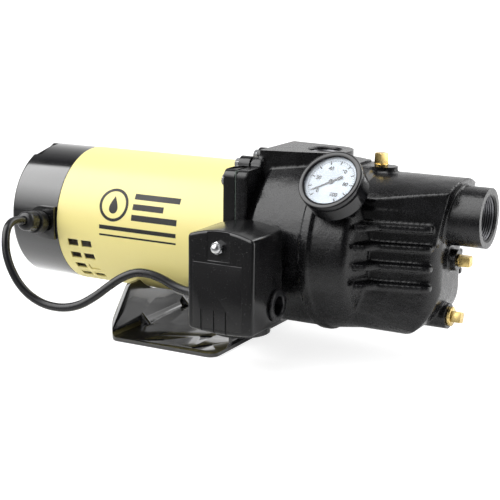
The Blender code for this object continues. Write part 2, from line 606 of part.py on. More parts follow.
def foot_bracket():
    corner = 10.0
    half = FOOT_HALF_Y
    outline = ([(FOOT_X0, -half), (FOOT_X1 - corner, -half)]
               + arc((FOOT_X1 - corner, -half + corner), corner, -75, 0, 4)
               + arc((FOOT_X1 - corner, half - corner), corner, 0, 75, 4)
               + [(FOOT_X1 - corner, half), (FOOT_X0, half)])
    base = plate("foot_bracket", [outline], (0, 0, 0), X_AXIS, Y_AXIS, 0, FOOT_T)
    saddle = ([(-half, 0.5), (half, 0.5), (half, 7.0), (72.0, SADDLE_TOP_Z - 3), (68.0, SADDLE_TOP_Z)]
              + cradle(SADDLE_TOP_Z) + [(-68.0, SADDLE_TOP_Z), (-72.0, SADDLE_TOP_Z - 3), (-half, 7.0)])
    upright = plate("saddle", [saddle], (0, 0, 0), Y_AXIS, Z_AXIS, FOOT_X0, FOOT_X0 + FOOT_T)
    tab_top = FOOT_BOLT_Z + 6.5
    tab_outline = [(-58, 0.5), (58, 0.5), (58, tab_top)] + cradle(tab_top) + [(-58, tab_top)]
    tab = plate("tab", [tab_outline], (0, 0, 0), Y_AXIS, Z_AXIS, FOOT_TAB_X - FOOT_T, FOOT_TAB_X)
    gussets = []
    for y in (-45, 40):
        triangle = [(FOOT_X0 + 1, 1), (FOOT_X0 + 17, 1), (FOOT_X0 + 17, FOOT_T + 0.5),
                    (FOOT_X0 + FOOT_T + 0.5, 17), (FOOT_X0 + 1, 17)]
        gussets.append(plate("gusset", [triangle], (0, 0, 0), X_AXIS, Z_AXIS, -y - 3, -y + 3))
    foot = joined("foot_bracket", [base, upright, tab] + gussets)
    slots = []
    for side in (-1, 1):
        for x, y, length, width, angle in FOOT_SLOTS:
            slots.append(slot(x, side * y, length, width, -side * angle))
    holes = [cylinder("hole", (FOOT_TAB_X - 9, y, FOOT_BOLT_Z), X_AXIS, 12, 4.0, 12) for y in FOOT_BOLT_Y]
    return finish(cut(foot, slots + holes), BLACK)


def foot_bolts():
    for i, y in enumerate(FOOT_BOLT_Y):
        seat = (FOOT_TAB_X - FOOT_T - GAP, y, FOOT_BOLT_Z)
        finish(hex_bolt(f"foot_bolt_{i + 1}", seat, X_AXIS, 6.5, 5.0, 3.2, 12), BRIGHT)


# ---- pressure gauge -----------------------------------------------------------------------
def gauge():
    n, face = GAUGE_N, GAUGE_CENTRE
    r, rear = GAUGE_CASE_R, 4.5 - GAUGE_DEPTH
    profile = [(27.2, 4.6), (30.6, 4.6), (r, 3.4), (r, -3), (r - 1.2, -4), (r - 1.2, rear + 3), (r - 4.2, rear),
               (7.4, rear), (7.4, rear + 1.5), (r - 5, rear + 1.5), (r - 3, rear + 3.4), (r - 3, 2.9),
               (27.2, 3.2)]
    finish(turned("gauge_case", profile, face, n, 28), BLACK_PLASTIC)
    dial = turned("gauge_dial", [(GAUGE_DIAL_R + 1.6, 0), (GAUGE_DIAL_R + 1.6, -0.8), (1.9, -0.8), (1.9, 0)],
                  face, n)
    finish(dial, WHITE)
    finish(turned("gauge_lens", [(0, 2.7), (28.6, 2.7), (28.6, 1.5), (0, 1.5)], face, n, closed=False), GLASS)
    needle = plate("gauge_pointer", [[(-9, -1.3), (-3, -0.6), (20, -0.45), (22.5, 0), (20, 0.45), (-3, 0.6),
                                      (-9, 1.3)]], face, GAUGE_ZERO, n.cross(GAUGE_ZERO), 0.35, 0.8)
    hub = cylinder("hub", face + n * 0.3, n, 0.9, 2.3, 16)
    needle = finish(joined("gauge_pointer", [needle, hub]), BLACK_PLASTIC)
    stem = cylinder("gauge_movement", face - n * 38, n, 38 + rear + 5, 5.3, 12)
    flats = cylinder("flats", face - n * 28.5, n, 28.5 + rear - 0.4, 9.0, 4)
    block = cylinder("block", face + n * (rear + 3), n, 9, 6.5, 6)
    spindle = cylinder("spindle", face + n * (rear + 8), n, -rear - 8 + 0.1, 1.4, 10)
    side = GAUGE_ZERO
    up = n.cross(side)
    coil = [face + n * (rear + 9) + (side * cos(a) + up * sin(a)) * 19
            for a in (radians(-20 + 260 * i / 8) for i in range(9))]
    coil = [face + n * (rear + 9)] + coil
    bourdon = tube("bourdon", coil, 1.7, 1)
    finish(joined("gauge_movement", [stem, flats, block, spindle, bourdon]), BRASS)
    pivot("pointer_axis", face, [needle])


# ---- pressure switch ----------------------------------------------------------------------
def cover_outline(inset):
    """Front view of the switch's cover: straight sides, an arched top and a slightly bowed bottom."""
    x0, x1 = SWITCH_X0 + inset, SWITCH_X1 - inset
    z0, z1 = SWITCH_Z0 + inset, SWITCH_Z1 - inset
    middle, half = (x0 + x1) / 2, (x1 - x0) / 2
    steps = [i / 5 for i in range(-5, 6)]
    top = [(middle - half * t, z1 + SWITCH_ARCH * (1 - t * t)) for t in steps]
    bottom = [(middle + half * t, z0 - 2.5 * (1 - t * t)) for t in steps]
    return bottom + top


def switch_cover():
    wall = 2.0
    body = plate("switch_cover", [cover_outline(0)], (0, 0, 0), X_AXIS, Z_AXIS, -SWITCH_BACK_Y + 3,
                 -SWITCH_FRONT_Y)
    rounding = body.modifiers.new("rounding", "BEVEL")
    rounding.width = 3.5 * MM
    rounding.segments = 1
    rounding.limit_method = "ANGLE"
    rounding.angle_limit = radians(60)
    body = frozen(body)
    hollow = plate("hollow", [cover_outline(wall)], (0, 0, 0), X_AXIS, Z_AXIS, -SWITCH_BACK_Y - 10,
                   -SWITCH_FRONT_Y - wall - 1.5)
    cutters = [hollow, cylinder("stud_hole", (NUT_X, SWITCH_FRONT_Y - 5, NUT_Z), Y_AXIS, 20, 3.2, 12),
               box("recess", (85, SWITCH_FRONT_Y - 5, 111), (108, SWITCH_FRONT_Y + 1.6, 150))]
    cutters.append(box("neck_notch", (76, -135.5, 38), (122, -85, 50)))
    for x in (SWITCH_X0, SWITCH_X1):
        cutters.append(box("notch", (x - 6, INLET_Y - 11.5, INLET_Z - 11.5), (x + 6, -85, INLET_Z + 11.5)))
    for x in (79.0, 93.0, 106.0):
        cutters.append(box("groove", (x - 0.7, SWITCH_FRONT_Y - 5, 38), (x + 0.7, SWITCH_FRONT_Y + 1.2, 66)))
    return finish(cut(body, cutters), BLACK)


def cover_nut():
    seat = SWITCH_FRONT_Y + 1.6 - GAP
    nut = cylinder("cover_nut", (NUT_X, seat, NUT_Z), -Y_AXIS, 5.5, 6.6, 6)
    dome = turned("dome", [(0, 10.5), (3.2, 9.6), (5.2, 7.2), (5.6, 5), (0, 5)], (NUT_X, seat, NUT_Z), -Y_AXIS, 16,
                  closed=False)
    nut = joined("cover_nut", [nut, dome])
    bore = cylinder("bore", (NUT_X, seat + 2, NUT_Z), -Y_AXIS, 9, 2.9, 12)
    return finish(cut(nut, [bore]), BRIGHT)


def switch_base():
    back, inner = SWITCH_BACK_Y, 3.0
    x0, x1 = SWITCH_X0 + inner, SWITCH_X1 - inner
    pieces = [box("switch_base", (x0, back - 3, SWITCH_Z0 + 2), (x1, back, SWITCH_Z1 - 5)),
              box("floor", (x0, back - 46, SWITCH_Z0 + 2.6), (x1, back - 2, SWITCH_Z0 + 5.5)),
              box("ear", (x0, back - 34, SWITCH_Z0 + 3), (x0 + 2.4, back - 2, INLET_Z + 16)),
              box("ear", (x1 - 2.4, back - 34, SWITCH_Z0 + 3), (x1, back - 2, INLET_Z + 16)),
              cylinder("diaphragm_ring", (99, back - 22, SWITCH_Z0 - 8.5), Z_AXIS, 5.2, 29.0, 28),
              cylinder("neck", (99, back - 22, SWITCH_Z0 - 4), Z_AXIS, 8.0, 22.0, 20),
              cylinder("cover_stud", (NUT_X, back - 1, NUT_Z), -Y_AXIS, -SWITCH_FRONT_Y + back + 3.5, 2.5, 12),
              cylinder("range_stud", (RANGE_X, RANGE_Y, SWITCH_Z0 + 4), Z_AXIS, 68, 2.4, 12),
              box("bracket", (RANGE_X - 5, RANGE_Y + 12, SWITCH_Z0 + 4), (RANGE_X + 5, back - 1, SWITCH_Z0 + 7))]
    body = joined("switch_base", pieces)
    cutters = [cylinder("inlet", (x - 8, INLET_Y, INLET_Z), X_AXIS, 16, 11.0, 24) for x in (x0, x1)]
    cutters.append(cylinder("port", (PORT_X, back + 4, PORT_Z), -Y_AXIS, 12, 5.2, 12))
    return finish(cut(body, cutters), ZINC)


def switch_inside():
    z = SWITCH_Z0
    block = box("contact_block", (82, -116, 96), (124, -94, 116), bevel=1.2, segments=1)
    fins = [box("fin", (x - 1, -120, 98), (x + 1, -114, 118)) for x in (83.5, 93, 103, 113, 122.5)]
    screws = [cylinder("screw", (x, -115, 108), -Y_AXIS, 3.4, 3.0, 10) for x in (88, 98, 108, 118)]
    finish(joined("contact_block", [block] + fins + screws), PHENOLIC)
    plate_z = z + 11.0
    lever = plate("contact_lever", [[(-20, 0), (20, 0), (18, -38), (8, -44), (-8, -44), (-18, -38)]],
                  (LEVER_X, LEVER_Y, plate_z), X_AXIS, Y_AXIS, 0, 2.0)
    hole = cylinder("stud_hole", (RANGE_X, RANGE_Y, plate_z - 5), Z_AXIS, 14, 4.0, 16)
    lever = finish(cut(lever, [hole]), ZINC)
    pivot("lever_axis", (LEVER_X, LEVER_Y, plate_z), [lever])
    turns, low, high, radius = 4, plate_z + 5.0, z + 56.0, 6.6
    helix = [(RANGE_X + radius * cos(a), RANGE_Y + radius * sin(a), low + (high - low) * a / (2 * pi * turns))
             for a in (2 * pi * i / 8 for i in range(turns * 8 + 1))]
    finish(tube("range_spring", helix, 1.1, 1), STEEL)
    nut = cylinder("range_nut", (RANGE_X, RANGE_Y, high + 1.1 + GAP), Z_AXIS, 6, 7.0, 6)
    bore = cylinder("bore", (RANGE_X, RANGE_Y, high - 3), Z_AXIS, 16, 2.7, 12)
    nut = finish(cut(nut, [bore]), BRIGHT)
    pivot("range_axis", (RANGE_X, RANGE_Y, high), [nut])


def switch_fittings():
    nipple = [(6.2, 0), (6.2, 9), (4.9, 10), (4.9, 21.5), (3.0, 21.5), (3.0, 0)]
    start = (PORT_X, SWITCH_BACK_Y + 17, PORT_Z)
    finish(turned("switch_nipple", nipple, start, -Y_AXIS, 16), BRIGHT)
    side = SWITCH_X1 + GAP
    grommet = [(16.2, side + 0.2), (16.2, side + 2.2), (14.6, side + 3.4), (10.2, side + 3.4), (9.2, side + 2.4),
               (9.2, 127.4), (13.4, 127.4), (13.4, 129.2), (10.6, 129.2), (10.6, side + 0.2)]
    finish(turned("switch_grommet", grommet, (0, INLET_Y, INLET_Z), X_AXIS), RUBBER)
    side = SWITCH_X0 - GAP
    relief = [(0, 44.8), (5.6, 44.8), (7.6, 54), (8.4, side - 3.2), (14.0, side - 2.8), (14.0, side - 0.2),
              (10.6, side - 0.2), (10.6, 68.8), (13.0, 68.8), (13.0, 71), (0, 71)]
    relief.reverse()
    finish(turned("strain_relief", relief, (0, INLET_Y, INLET_Z), X_AXIS, closed=False), RUBBER)


# ---- lead ---------------------------------------------------------------------------------
def cord_gland():
    body = cylinder("gland_body", GLAND_BASE + GLAND_AXIS * 6, GLAND_AXIS, 11, 12.6, 6)
    collar = cylinder("collar", GLAND_BASE + GLAND_AXIS * 4, GLAND_AXIS, 3, 12.0, 20)
    thread = cylinder("thread", GLAND_BASE - GLAND_AXIS * 8, GLAND_AXIS, 14, 6.1, 16)
    neck = cylinder("neck", GLAND_BASE + GLAND_AXIS * 15, GLAND_AXIS, 5, 7.5, 20)
    finish(joined("gland_body", [body, collar, thread, neck]), BLACK_PLASTIC)
    end = (Vector(LEAD_ROUTE[0]) - GLAND_BASE).length - GAP
    profile = [(0, end), (5.6, end), (7.6, end - 4), (9.6, end - 8), (10.2, 20.3), (0, 20.3)]
    nut = turned("gland_nut", profile, GLAND_BASE, GLAND_AXIS, 12, closed=False)
    return finish(nut, BLACK_PLASTIC)


def motor_lead():
    points = smooth_route(LEAD_ROUTE, 2 * 2 * CORD_R)
    points.insert(1, points[0] + GLAND_AXIS * CORD_R)  # both ends are square to what holds them
    points.insert(-1, points[-1] - X_AXIS * CORD_R)
    return finish(tube("motor_lead", points, CORD_R, 2), RUBBER)


# ---- places that several pieces share -----------------------------------------------------
GAUGE_N = Vector((sin(GAUGE_YAW) * cos(GAUGE_TILT), -cos(GAUGE_YAW) * cos(GAUGE_TILT), sin(GAUGE_TILT)))
GAUGE_RIGHT = Z_AXIS.cross(GAUGE_N).normalized()
GAUGE_UP = GAUGE_N.cross(GAUGE_RIGHT)
ZERO_ANGLE = radians(213)
GAUGE_ZERO = GAUGE_RIGHT * cos(ZERO_ANGLE) + GAUGE_UP * sin(ZERO_ANGLE)
PRIME_X = 195.6
PORT_X, PORT_Z = 105.0, 84.0
FOOT_TAB_X = FLANGE_X - GAP
FOOT_BOLT_Y, FOOT_BOLT_Z = (-50.0, 50.0), 39.5
FOOT_SLOTS = [(-13.0, 93.0, 20.0, 6.0, 35.0), (26.0, 56.0, 14.0, 7.0, 20.0), (40.0, 88.0, 24.0, 6.0, 60.0)]
LEVER_X, LEVER_Y = 99.0, -94.0
RANGE_X, RANGE_Y = 99.0, -129.0
GLAND_BASE = Vector((-170.5, -77.4, 109.5))
GLAND_AXIS = (Vector(LEAD_ROUTE[0]) - GLAND_BASE).normalized()

CREAM = material("cream_paint", (0.83, 0.73, 0.33), 0.38)
BLACK = material("black_enamel", (0.012, 0.012, 0.013), 0.18)
CAST = material("black_cast_iron", (0.014, 0.014, 0.016), 0.3)
BLACK_PLASTIC = material("black_plastic", (0.02, 0.02, 0.02), 0.4)
RUBBER = material("black_rubber", (0.02, 0.02, 0.02), 0.6)
BRASS = material("brass", (0.72, 0.56, 0.2), 0.3, 1.0)
BRIGHT = material("zinc_plate", (0.7, 0.7, 0.72), 0.3, 1.0)
ZINC = material("zinc_steel", (0.55, 0.55, 0.5), 0.4, 1.0)
STEEL = material("bare_steel", (0.5, 0.5, 0.5), 0.4, 1.0)
COPPER = material("copper_winding", (0.55, 0.22, 0.08), 0.45, 1.0)
ALUMINIUM = material("cast_aluminium", (0.6, 0.6, 0.6), 0.5, 1.0)
WHITE = material("dial_white", (0.85, 0.87, 0.9), 0.4)
GLASS = material("gauge_glass", (0.9, 0.95, 0.95), 0.05, 0.0, 0.3)
PLASTIC = material("moulded_plastic", (0.25, 0.25, 0.24), 0.45)
PHENOLIC = material("phenolic", (0.12, 0.06, 0.04), 0.5)
CERAMIC = material("ceramic", (0.8, 0.78, 0.72), 0.3)
GASKET = material("gasket_fibre", (0.2, 0.24, 0.22), 0.8)


def main():
    clear_scene()
    motor_shell()
    rear_cap()
    rear_end_bell()
    stator()
    through_bolts()
    rotor()
    governor()
    start_switch()
    start_capacitor()
    cooling_fan()
    adapter()
    shaft_seal()
    casing_gasket()
    pump_casing()
    impeller()
    diffuser()
    jet()
    casing_bolts()
    square_plug("priming_plug", (PRIME_X, 0, PLATEAU_Z), Z_AXIS, 6.2, 7.0, 2.0, 11.5, 12.5, radians(20))
    square_plug("jet_access_plug", (281, 0, EJECTOR_Z), X_AXIS, 5.6, 5.9, 2.0, 10.5, 11.5, radians(45))
    square_plug("drain_plug", (274, 0, DRAIN_Z), X_AXIS, 6.2, 9.8, 3.5, 11.5, 11.5, radians(30))
    foot_bracket()
    foot_bolts()
    gauge()
    switch_cover()
    cover_nut()
    switch_base()
    switch_inside()
    switch_fittings()
    cord_gland()
    motor_lead()
    turning = ["rotor_core", "motor_shaft", "water_slinger", "governor_collar", "cooling_fan", "seal_head",
               "impeller"]
    pivot("shaft_axis", (0, 0, SHAFT_Z), [bpy.data.objects[name] for name in turning])
    pivot("cover_slide", (NUT_X, SWITCH_FRONT_Y, NUT_Z),
          [bpy.data.objects["switch_cover"], bpy.data.objects["cover_nut"]])


main()
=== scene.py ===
"""Studio model of a shallow well jet pump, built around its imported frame.

Lengths in the making functions are millimetres in the frame's own axes: +X runs along the shaft
towards the suction port, -Y is the gauge side and +Z is up. The panel's sizes are metres.
"""
import json
from math import asin, cos, degrees, pi, radians, sin, sqrt

import bmesh
import bpy
from bpy.props import FloatProperty, FloatVectorProperty, IntProperty, PointerProperty
from mathutils import Matrix, Vector


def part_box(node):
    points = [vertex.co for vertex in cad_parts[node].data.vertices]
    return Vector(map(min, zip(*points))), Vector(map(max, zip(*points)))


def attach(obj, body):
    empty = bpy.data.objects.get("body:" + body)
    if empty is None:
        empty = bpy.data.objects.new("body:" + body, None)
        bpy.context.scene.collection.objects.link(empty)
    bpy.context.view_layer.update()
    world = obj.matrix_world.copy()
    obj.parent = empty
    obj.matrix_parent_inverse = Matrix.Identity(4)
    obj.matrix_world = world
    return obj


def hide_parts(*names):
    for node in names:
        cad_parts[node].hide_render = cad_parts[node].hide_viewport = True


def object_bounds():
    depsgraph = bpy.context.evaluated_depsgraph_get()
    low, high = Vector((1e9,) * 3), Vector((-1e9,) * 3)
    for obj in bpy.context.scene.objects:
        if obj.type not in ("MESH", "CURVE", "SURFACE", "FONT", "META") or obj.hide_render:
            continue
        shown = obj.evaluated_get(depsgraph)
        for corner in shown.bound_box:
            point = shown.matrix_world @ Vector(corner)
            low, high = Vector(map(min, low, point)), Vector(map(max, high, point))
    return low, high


bl_info = {
    "name": "Shallow Well Jet Pump",
    "version": (1, 0, 0),
    "blender": (4, 5, 0),
    "location": "View3D > Sidebar > Pump",
    "description": "Builds a jet pump with its motor, gauge, pressure switch and foot",
    "category": "Object",
}

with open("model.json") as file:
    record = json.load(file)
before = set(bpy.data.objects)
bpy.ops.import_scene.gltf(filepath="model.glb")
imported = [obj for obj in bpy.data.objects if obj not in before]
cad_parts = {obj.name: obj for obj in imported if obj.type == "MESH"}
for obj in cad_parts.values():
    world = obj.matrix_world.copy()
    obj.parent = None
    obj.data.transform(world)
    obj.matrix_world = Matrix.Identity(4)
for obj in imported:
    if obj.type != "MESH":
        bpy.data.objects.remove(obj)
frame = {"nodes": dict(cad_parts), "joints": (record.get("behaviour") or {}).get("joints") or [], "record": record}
cad_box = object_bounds()
MM = 0.001
X_AXIS, Y_AXIS, Z_AXIS = Vector((1, 0, 0)), Vector((0, 1, 0)), Vector((0, 0, 1))


def node_box(node):
    """Lowest and highest corner of a frame node, in millimetres."""
    low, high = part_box(node)
    return low / MM, high / MM


def node_middle(node):
    low, high = node_box(node)
    return (low + high) / 2


# ---- places read from the frame -----------------------------------------------------------
SHELL_LOW, SHELL_HIGH = node_box("motor_shell")
CAP_LOW, CAP_HIGH = node_box("rear_cap")
ADAPTER_HIGH = node_box("adapter_bracket")[1]
CASING_LOW = node_box("pump_casing")[0]
FOOT_LOW, FOOT_HIGH = node_box("foot_bracket")
COVER_LOW, COVER_HIGH = node_box("switch_cover")
RELIEF_LOW = node_box("strain_relief")[0]
NUT_HIGH = node_box("cover_nut")[1]
JOINTS = {joint["name"]: joint for joint in frame["joints"]}
MOUNTS = {mount["name"]: Vector(mount["pos_m"]) / MM for mount in frame["record"]["mounts"]}

SHAFT_Z = JOINTS["rotor_spin"]["pos_m"][2] / MM
SHAFT = (0, 0, SHAFT_Z)
MOTOR_R = (SHELL_HIGH.z - SHELL_LOW.z) / 2
SUCTION_X = MOUNTS["suction_face"].x
DISCHARGE_TOP = MOUNTS["discharge_face"].z
GAUGE_FACE = Vector(JOINTS["pointer_turn"]["pos_m"]) / MM
GAUGE_N = Vector(JOINTS["pointer_turn"]["axis"]).normalized()
GAUGE_RIGHT = Z_AXIS.cross(GAUGE_N).normalized()
GAUGE_UP = GAUGE_N.cross(GAUGE_RIGHT)

# ---- sizes of the casting, some worked out from the frame's places and some given as numbers ---
FLANGE_X0, FLANGE_X1 = CASING_LOW.x, CASING_LOW.x + 12.2
FLANGE_HALF = ADAPTER_HIGH.y
VOLUTE_R, VOLUTE_X0, VOLUTE_X1 = 87.0, 91.0, 197.0
CHEST_END = SUCTION_X - 37.0
SUCTION_Z, SUCTION_R, SUCTION_BORE_R = 152.0, 29.7, 20.8
DISCHARGE_X, DISCHARGE_BORE_R = 133.2, 16.6
PLATEAU_Z = 194.0
PRIME_X = node_middle("priming_plug").x
EJECTOR_Z = node_middle("jet_access_plug").z
DRAIN_Z = node_middle("drain_plug").z
TOP_BOLTS = [(-40.0, 79.0), (0.0, 82.5), (40.0, 79.0)]
CORNER_BOLTS = [(-66.0, 66.0), (66.0, 66.0), (66.0, -66.0), (-66.0, -66.0)]
CASING_BOLTS = CORNER_BOLTS + TOP_BOLTS

# Route of the motor lead, from the gland on the cap to the strain relief on the switch.
LEAD_ROUTE = [(-167.2, -112.8, 118.0), (-167.9, -120.8, 119.8), (-168.2, -130.8, 119.8),
              (-166.2, -141, 115.0), (-163.2, -148, 104.6), (-159.6, -151.6, 90.4), (-152.9, -153, 75.2),
              (-143.2, -152.6, 60.6), (-130.6, -151, 49.2), (-114.5, -148, 41.6), (-95.5, -144.4, 39.6),
              (-77.5, -139.6, 43.6), (-61.5, -133.6, 53.4), (-47.5, -127.6, 65.2), (-34.4, -122, 75.0),
              (-21.2, -117, 80.4), (-7.6, -113, 80.0), (5.6, -110, 76.0), (18.2, -108.2, 70.4),
              (29.0, -107.2, 67.2), (38.0, -107, 66.1), (44.0, -107, 66.0)]
GLAND_BASE = Vector((-170.5, -77.4, 109.5))
GLAND_AXIS = (Vector(LEAD_ROUTE[0]) - GLAND_BASE).normalized()
LEAD_ENTRY = (0, *LEAD_ROUTE[-1][1:])
STUD_X, STUD_Z = 97.0, 128.0
CHEST_FLOOR = 31.5


# ---- what a user may change ---------------------------------------------------------------
class PumpSizes(bpy.types.PropertyGroup):
    """Sizes that can be changed without touching the frame."""

    lead_diameter: FloatProperty(name="Lead diameter", description="Outside diameter of the motor lead",
                                 default=0.0088, min=0.006, max=0.0095, unit="LENGTH")
    casting_voxel: FloatProperty(name="Casting detail", description="Cell size of the fused casting",
                                 default=0.0013, min=0.001, max=0.004, unit="LENGTH")
    round_steps: IntProperty(name="Round steps", description="Facets round the motor and the gauge",
                             default=128, min=24, max=256)
    edge_radius: FloatProperty(name="Edge radius", description="Rounding of sheet metal and machined edges",
                               default=0.0007, min=0.0002, max=0.002, unit="LENGTH")
    light_power: FloatProperty(name="Light power", description="Strength of the front softbox",
                               default=5.0, min=0.0, max=100.0)


class PumpFinishes(bpy.types.PropertyGroup):
    """Colours and textures of the finishes."""

    cream: FloatVectorProperty(name="Cream", description="Enamel of the motor shell", subtype="COLOR",
                               default=(0.84, 0.74, 0.29), min=0.0, max=1.0)
    black: FloatVectorProperty(name="Black", description="Enamel of the cap, the foot and the switch",
                               subtype="COLOR", default=(0.006, 0.006, 0.0065), min=0.0, max=1.0)
    casting: FloatVectorProperty(name="Casting", description="Paint of the castings", subtype="COLOR",
                                 default=(0.004, 0.004, 0.0045), min=0.0, max=1.0)
    brass: FloatVectorProperty(name="Brass", description="Plugs and gauge stem", subtype="COLOR",
                               default=(0.80, 0.60, 0.24), min=0.0, max=1.0)
    grain_depth: FloatProperty(name="Grain depth", description="Height of the sand grain on the castings",
                               default=0.0004, min=0.0, max=0.002, unit="LENGTH")


# ---- modelling tools ----------------------------------------------------------------------
def added(name, data):
    thing = bpy.data.objects.new(name, data)
    bpy.context.scene.collection.objects.link(thing)
    return thing


def shaped(name, form):
    """An object made of a bmesh, which is used up."""
    mesh = bpy.data.meshes.new(name)
    form.to_mesh(mesh)
    form.free()
    return added(name, mesh)


def frozen(thing):
    """The object as one plain welded mesh in the frame's space."""
    bpy.context.view_layer.update()
    graph = bpy.context.evaluated_depsgraph_get()
    mesh = bpy.data.meshes.new_from_object(thing.evaluated_get(graph), depsgraph=graph)
    mesh.transform(thing.matrix_world)
    form = bmesh.new()
    form.from_mesh(mesh)
    bmesh.ops.remove_doubles(form, verts=form.verts, dist=0.0000005)
    bmesh.ops.recalc_face_normals(form, faces=form.faces)
    form.to_mesh(mesh)
    form.free()
    name = thing.name
    bpy.data.objects.remove(thing, do_unlink=True)
    return added(name, mesh)


def facing(direction, spin=0.0):
    """Rotation that takes local +Z to a direction, after a spin about local Z."""
    turn = Vector(direction).normalized().to_track_quat("Z", "Y").to_matrix().to_4x4()
    return turn @ Matrix.Rotation(spin, 4, "Z")


def cylinder(name, start, direction, length, radius, sides=48, end_radius=None, spin=0.0):
    form = bmesh.new()
    last = radius if end_radius is None else end_radius
    bmesh.ops.create_cone(form, cap_ends=True, segments=sides, radius1=radius * MM, radius2=last * MM,
                          depth=length * MM)
    centre = Vector(start) + Vector(direction).normalized() * length / 2
    form.transform(Matrix.Translation(centre * MM) @ facing(direction, spin))
    return shaped(name, form)


def box(name, low, high, spin=None):
    """A box between two corners; spin is (angle, axis) about the box's own centre."""
    low, high = Vector(low), Vector(high)
    form = bmesh.new()
    bmesh.ops.create_cube(form, size=1.0)
    bmesh.ops.scale(form, vec=(high - low) * MM, verts=form.verts)
    turn = Matrix.Rotation(spin[0], 4, spin[1]) if spin else Matrix.Identity(4)
    form.transform(Matrix.Translation((low + high) / 2 * MM) @ turn)
    return shaped(name, form)


def turned(name, profile, start, direction, steps=64):
    """A turned piece: profile points are (radius, distance along the axis from start).

    A profile that starts and ends on the axis stays open; any other is a ring and is closed.
    """
    mesh = bpy.data.meshes.new(name)
    count = len(profile)
    edges = [(i, i + 1) for i in range(count - 1)]
    if profile[0][0] or profile[-1][0]:
        edges.append((count - 1, 0))
    mesh.from_pydata([(r * MM, 0, h * MM) for r, h in profile], edges, [])
    thing = added(name, mesh)
    thing.matrix_world = Matrix.Translation(Vector(start) * MM) @ facing(direction)
    screw = thing.modifiers.new("turn", "SCREW")
    screw.steps = steps
    screw.render_steps = steps
    screw.use_merge_vertices = True
    screw.merge_threshold = 0.00001
    return frozen(thing)


def plate(name, outline, across, up, low, high, origin=(0, 0, 0)):
    """A flat outline of (across, up) points, made solid from low to high along its normal."""
    curve = bpy.data.curves.new(name, "CURVE")
    curve.dimensions = "2D"
    curve.fill_mode = "BOTH"
    curve.extrude = (high - low) / 2 * MM
    spline = curve.splines.new("POLY")
    spline.points.add(len(outline) - 1)
    for point, (u, v) in zip(spline.points, outline):
        point.co = (u * MM, v * MM, 0, 1)
    spline.use_cyclic_u = True
    thing = added(name, curve)
    across, up = Vector(across), Vector(up)
    normal = across.cross(up)
    middle = Vector(origin) + normal * (low + high) / 2
    thing.matrix_world = Matrix.Translation(middle * MM) @ Matrix((across, up, normal)).transposed().to_4x4()
    return frozen(thing)


def smooth_route(route, spacing):
    """Points about a fixed distance apart on a smooth curve through the route's points."""
    knots = [Vector(p) for p in route]
    ends = [2 * knots[0] - knots[1]] + knots + [2 * knots[-1] - knots[-2]]
    fine = []
    for a, b, c, d in zip(ends, ends[1:], ends[2:], ends[3:]):
        steps = max(2, round((c - b).length / spacing))
        for step in range(steps):
            t = step / steps
            fine.append(0.5 * (2 * b + (c - a) * t + (2 * a - 5 * b + 4 * c - d) * t ** 2
                               + (3 * b - a - 3 * c + d) * t ** 3))
    return fine + [knots[-1]]


def combine(base, others, operation, solver="EXACT"):
    """One boolean of the base with several others, which are used up."""
    group = bpy.data.collections.new("operands")
    bpy.context.scene.collection.children.link(group)
    for other in others:
        bpy.context.scene.collection.objects.unlink(other)
        group.objects.link(other)
    step = base.modifiers.new("combine", "BOOLEAN")
    step.operation = operation
    step.solver = solver
    step.operand_type = "COLLECTION"
    step.collection = group
    made = frozen(base)
    for other in others:
        bpy.data.objects.remove(other, do_unlink=True)
    bpy.data.collections.remove(group)
    return made


def joined(name, pieces):
    made = combine(pieces[0], pieces[1:], "UNION")
    made.name = name
    return made


def grouped(name, pieces):
    """The pieces as one mesh, without fusing them."""
    form = bmesh.new()
    for piece in pieces:
        form.from_mesh(piece.data)
        bpy.data.objects.remove(piece, do_unlink=True)
    return shaped(name, form)


def rounded(thing, width, segments=3, angle=32):
    """Rounds every edge sharper than an angle; width in millimetres."""
    bevel = thing.modifiers.new("rounding", "BEVEL")
    bevel.width = width * MM
    bevel.segments = segments
    bevel.limit_method = "ANGLE"
    bevel.angle_limit = radians(angle)
    return frozen(thing)


def fused(thing, voxel, smoothing):
    """The overlapping solids as one skin with soft fillets, as a casting comes from sand."""
    remesh = thing.modifiers.new("fuse", "REMESH")
    remesh.mode = "VOXEL"
    remesh.voxel_size = voxel
    soften = thing.modifiers.new("soften", "SMOOTH")
    soften.factor = 0.5
    soften.iterations = smoothing
    return frozen(thing)


def smooth(thing, angle=35):
    thing.data.shade_smooth()
    thing.data.set_sharp_from_angle(angle=radians(angle))
    return thing


def arc(centre, radius, start, end, steps):
    """Points on a circular arc, angles in degrees."""
    angles = [radians(start + (end - start) * i / steps) for i in range(steps + 1)]
    return [(centre[0] + radius * cos(a), centre[1] + radius * sin(a)) for a in angles]


def around(radius, angle, x=0.0):
    """A point at a radius and angle (from +Y towards +Z) around the shaft's axis."""
    return Vector((x, radius * cos(angle), SHAFT_Z + radius * sin(angle)))


def fitted(piece, look, slot, *nodes, body="root", angle=35):
    """Gives a piece its finish, its body and the frame nodes it stands for; the slot argument is not used."""
    piece.data.materials.clear()
    piece.data.materials.append(LOOKS[look])
    if piece.type == "MESH":
        smooth(piece, angle)
    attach(piece, body)
    if nodes:
        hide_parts(*nodes)
    return piece


# ---- finishes -----------------------------------------------------------------------------
def shader_group(name, inputs, outputs):
    """An empty shader group; inputs are (name, default) and outputs are names of values."""
    group = bpy.data.node_groups.new(name, "ShaderNodeTree")
    for label, default in inputs:
        socket = group.interface.new_socket(label, in_out="INPUT", socket_type="NodeSocketFloat")
        socket.default_value = default
    for label in outputs:
        group.interface.new_socket(label, in_out="OUTPUT", socket_type="NodeSocketFloat")
    return group, group.nodes.new("NodeGroupInput"), group.nodes.new("NodeGroupOutput")


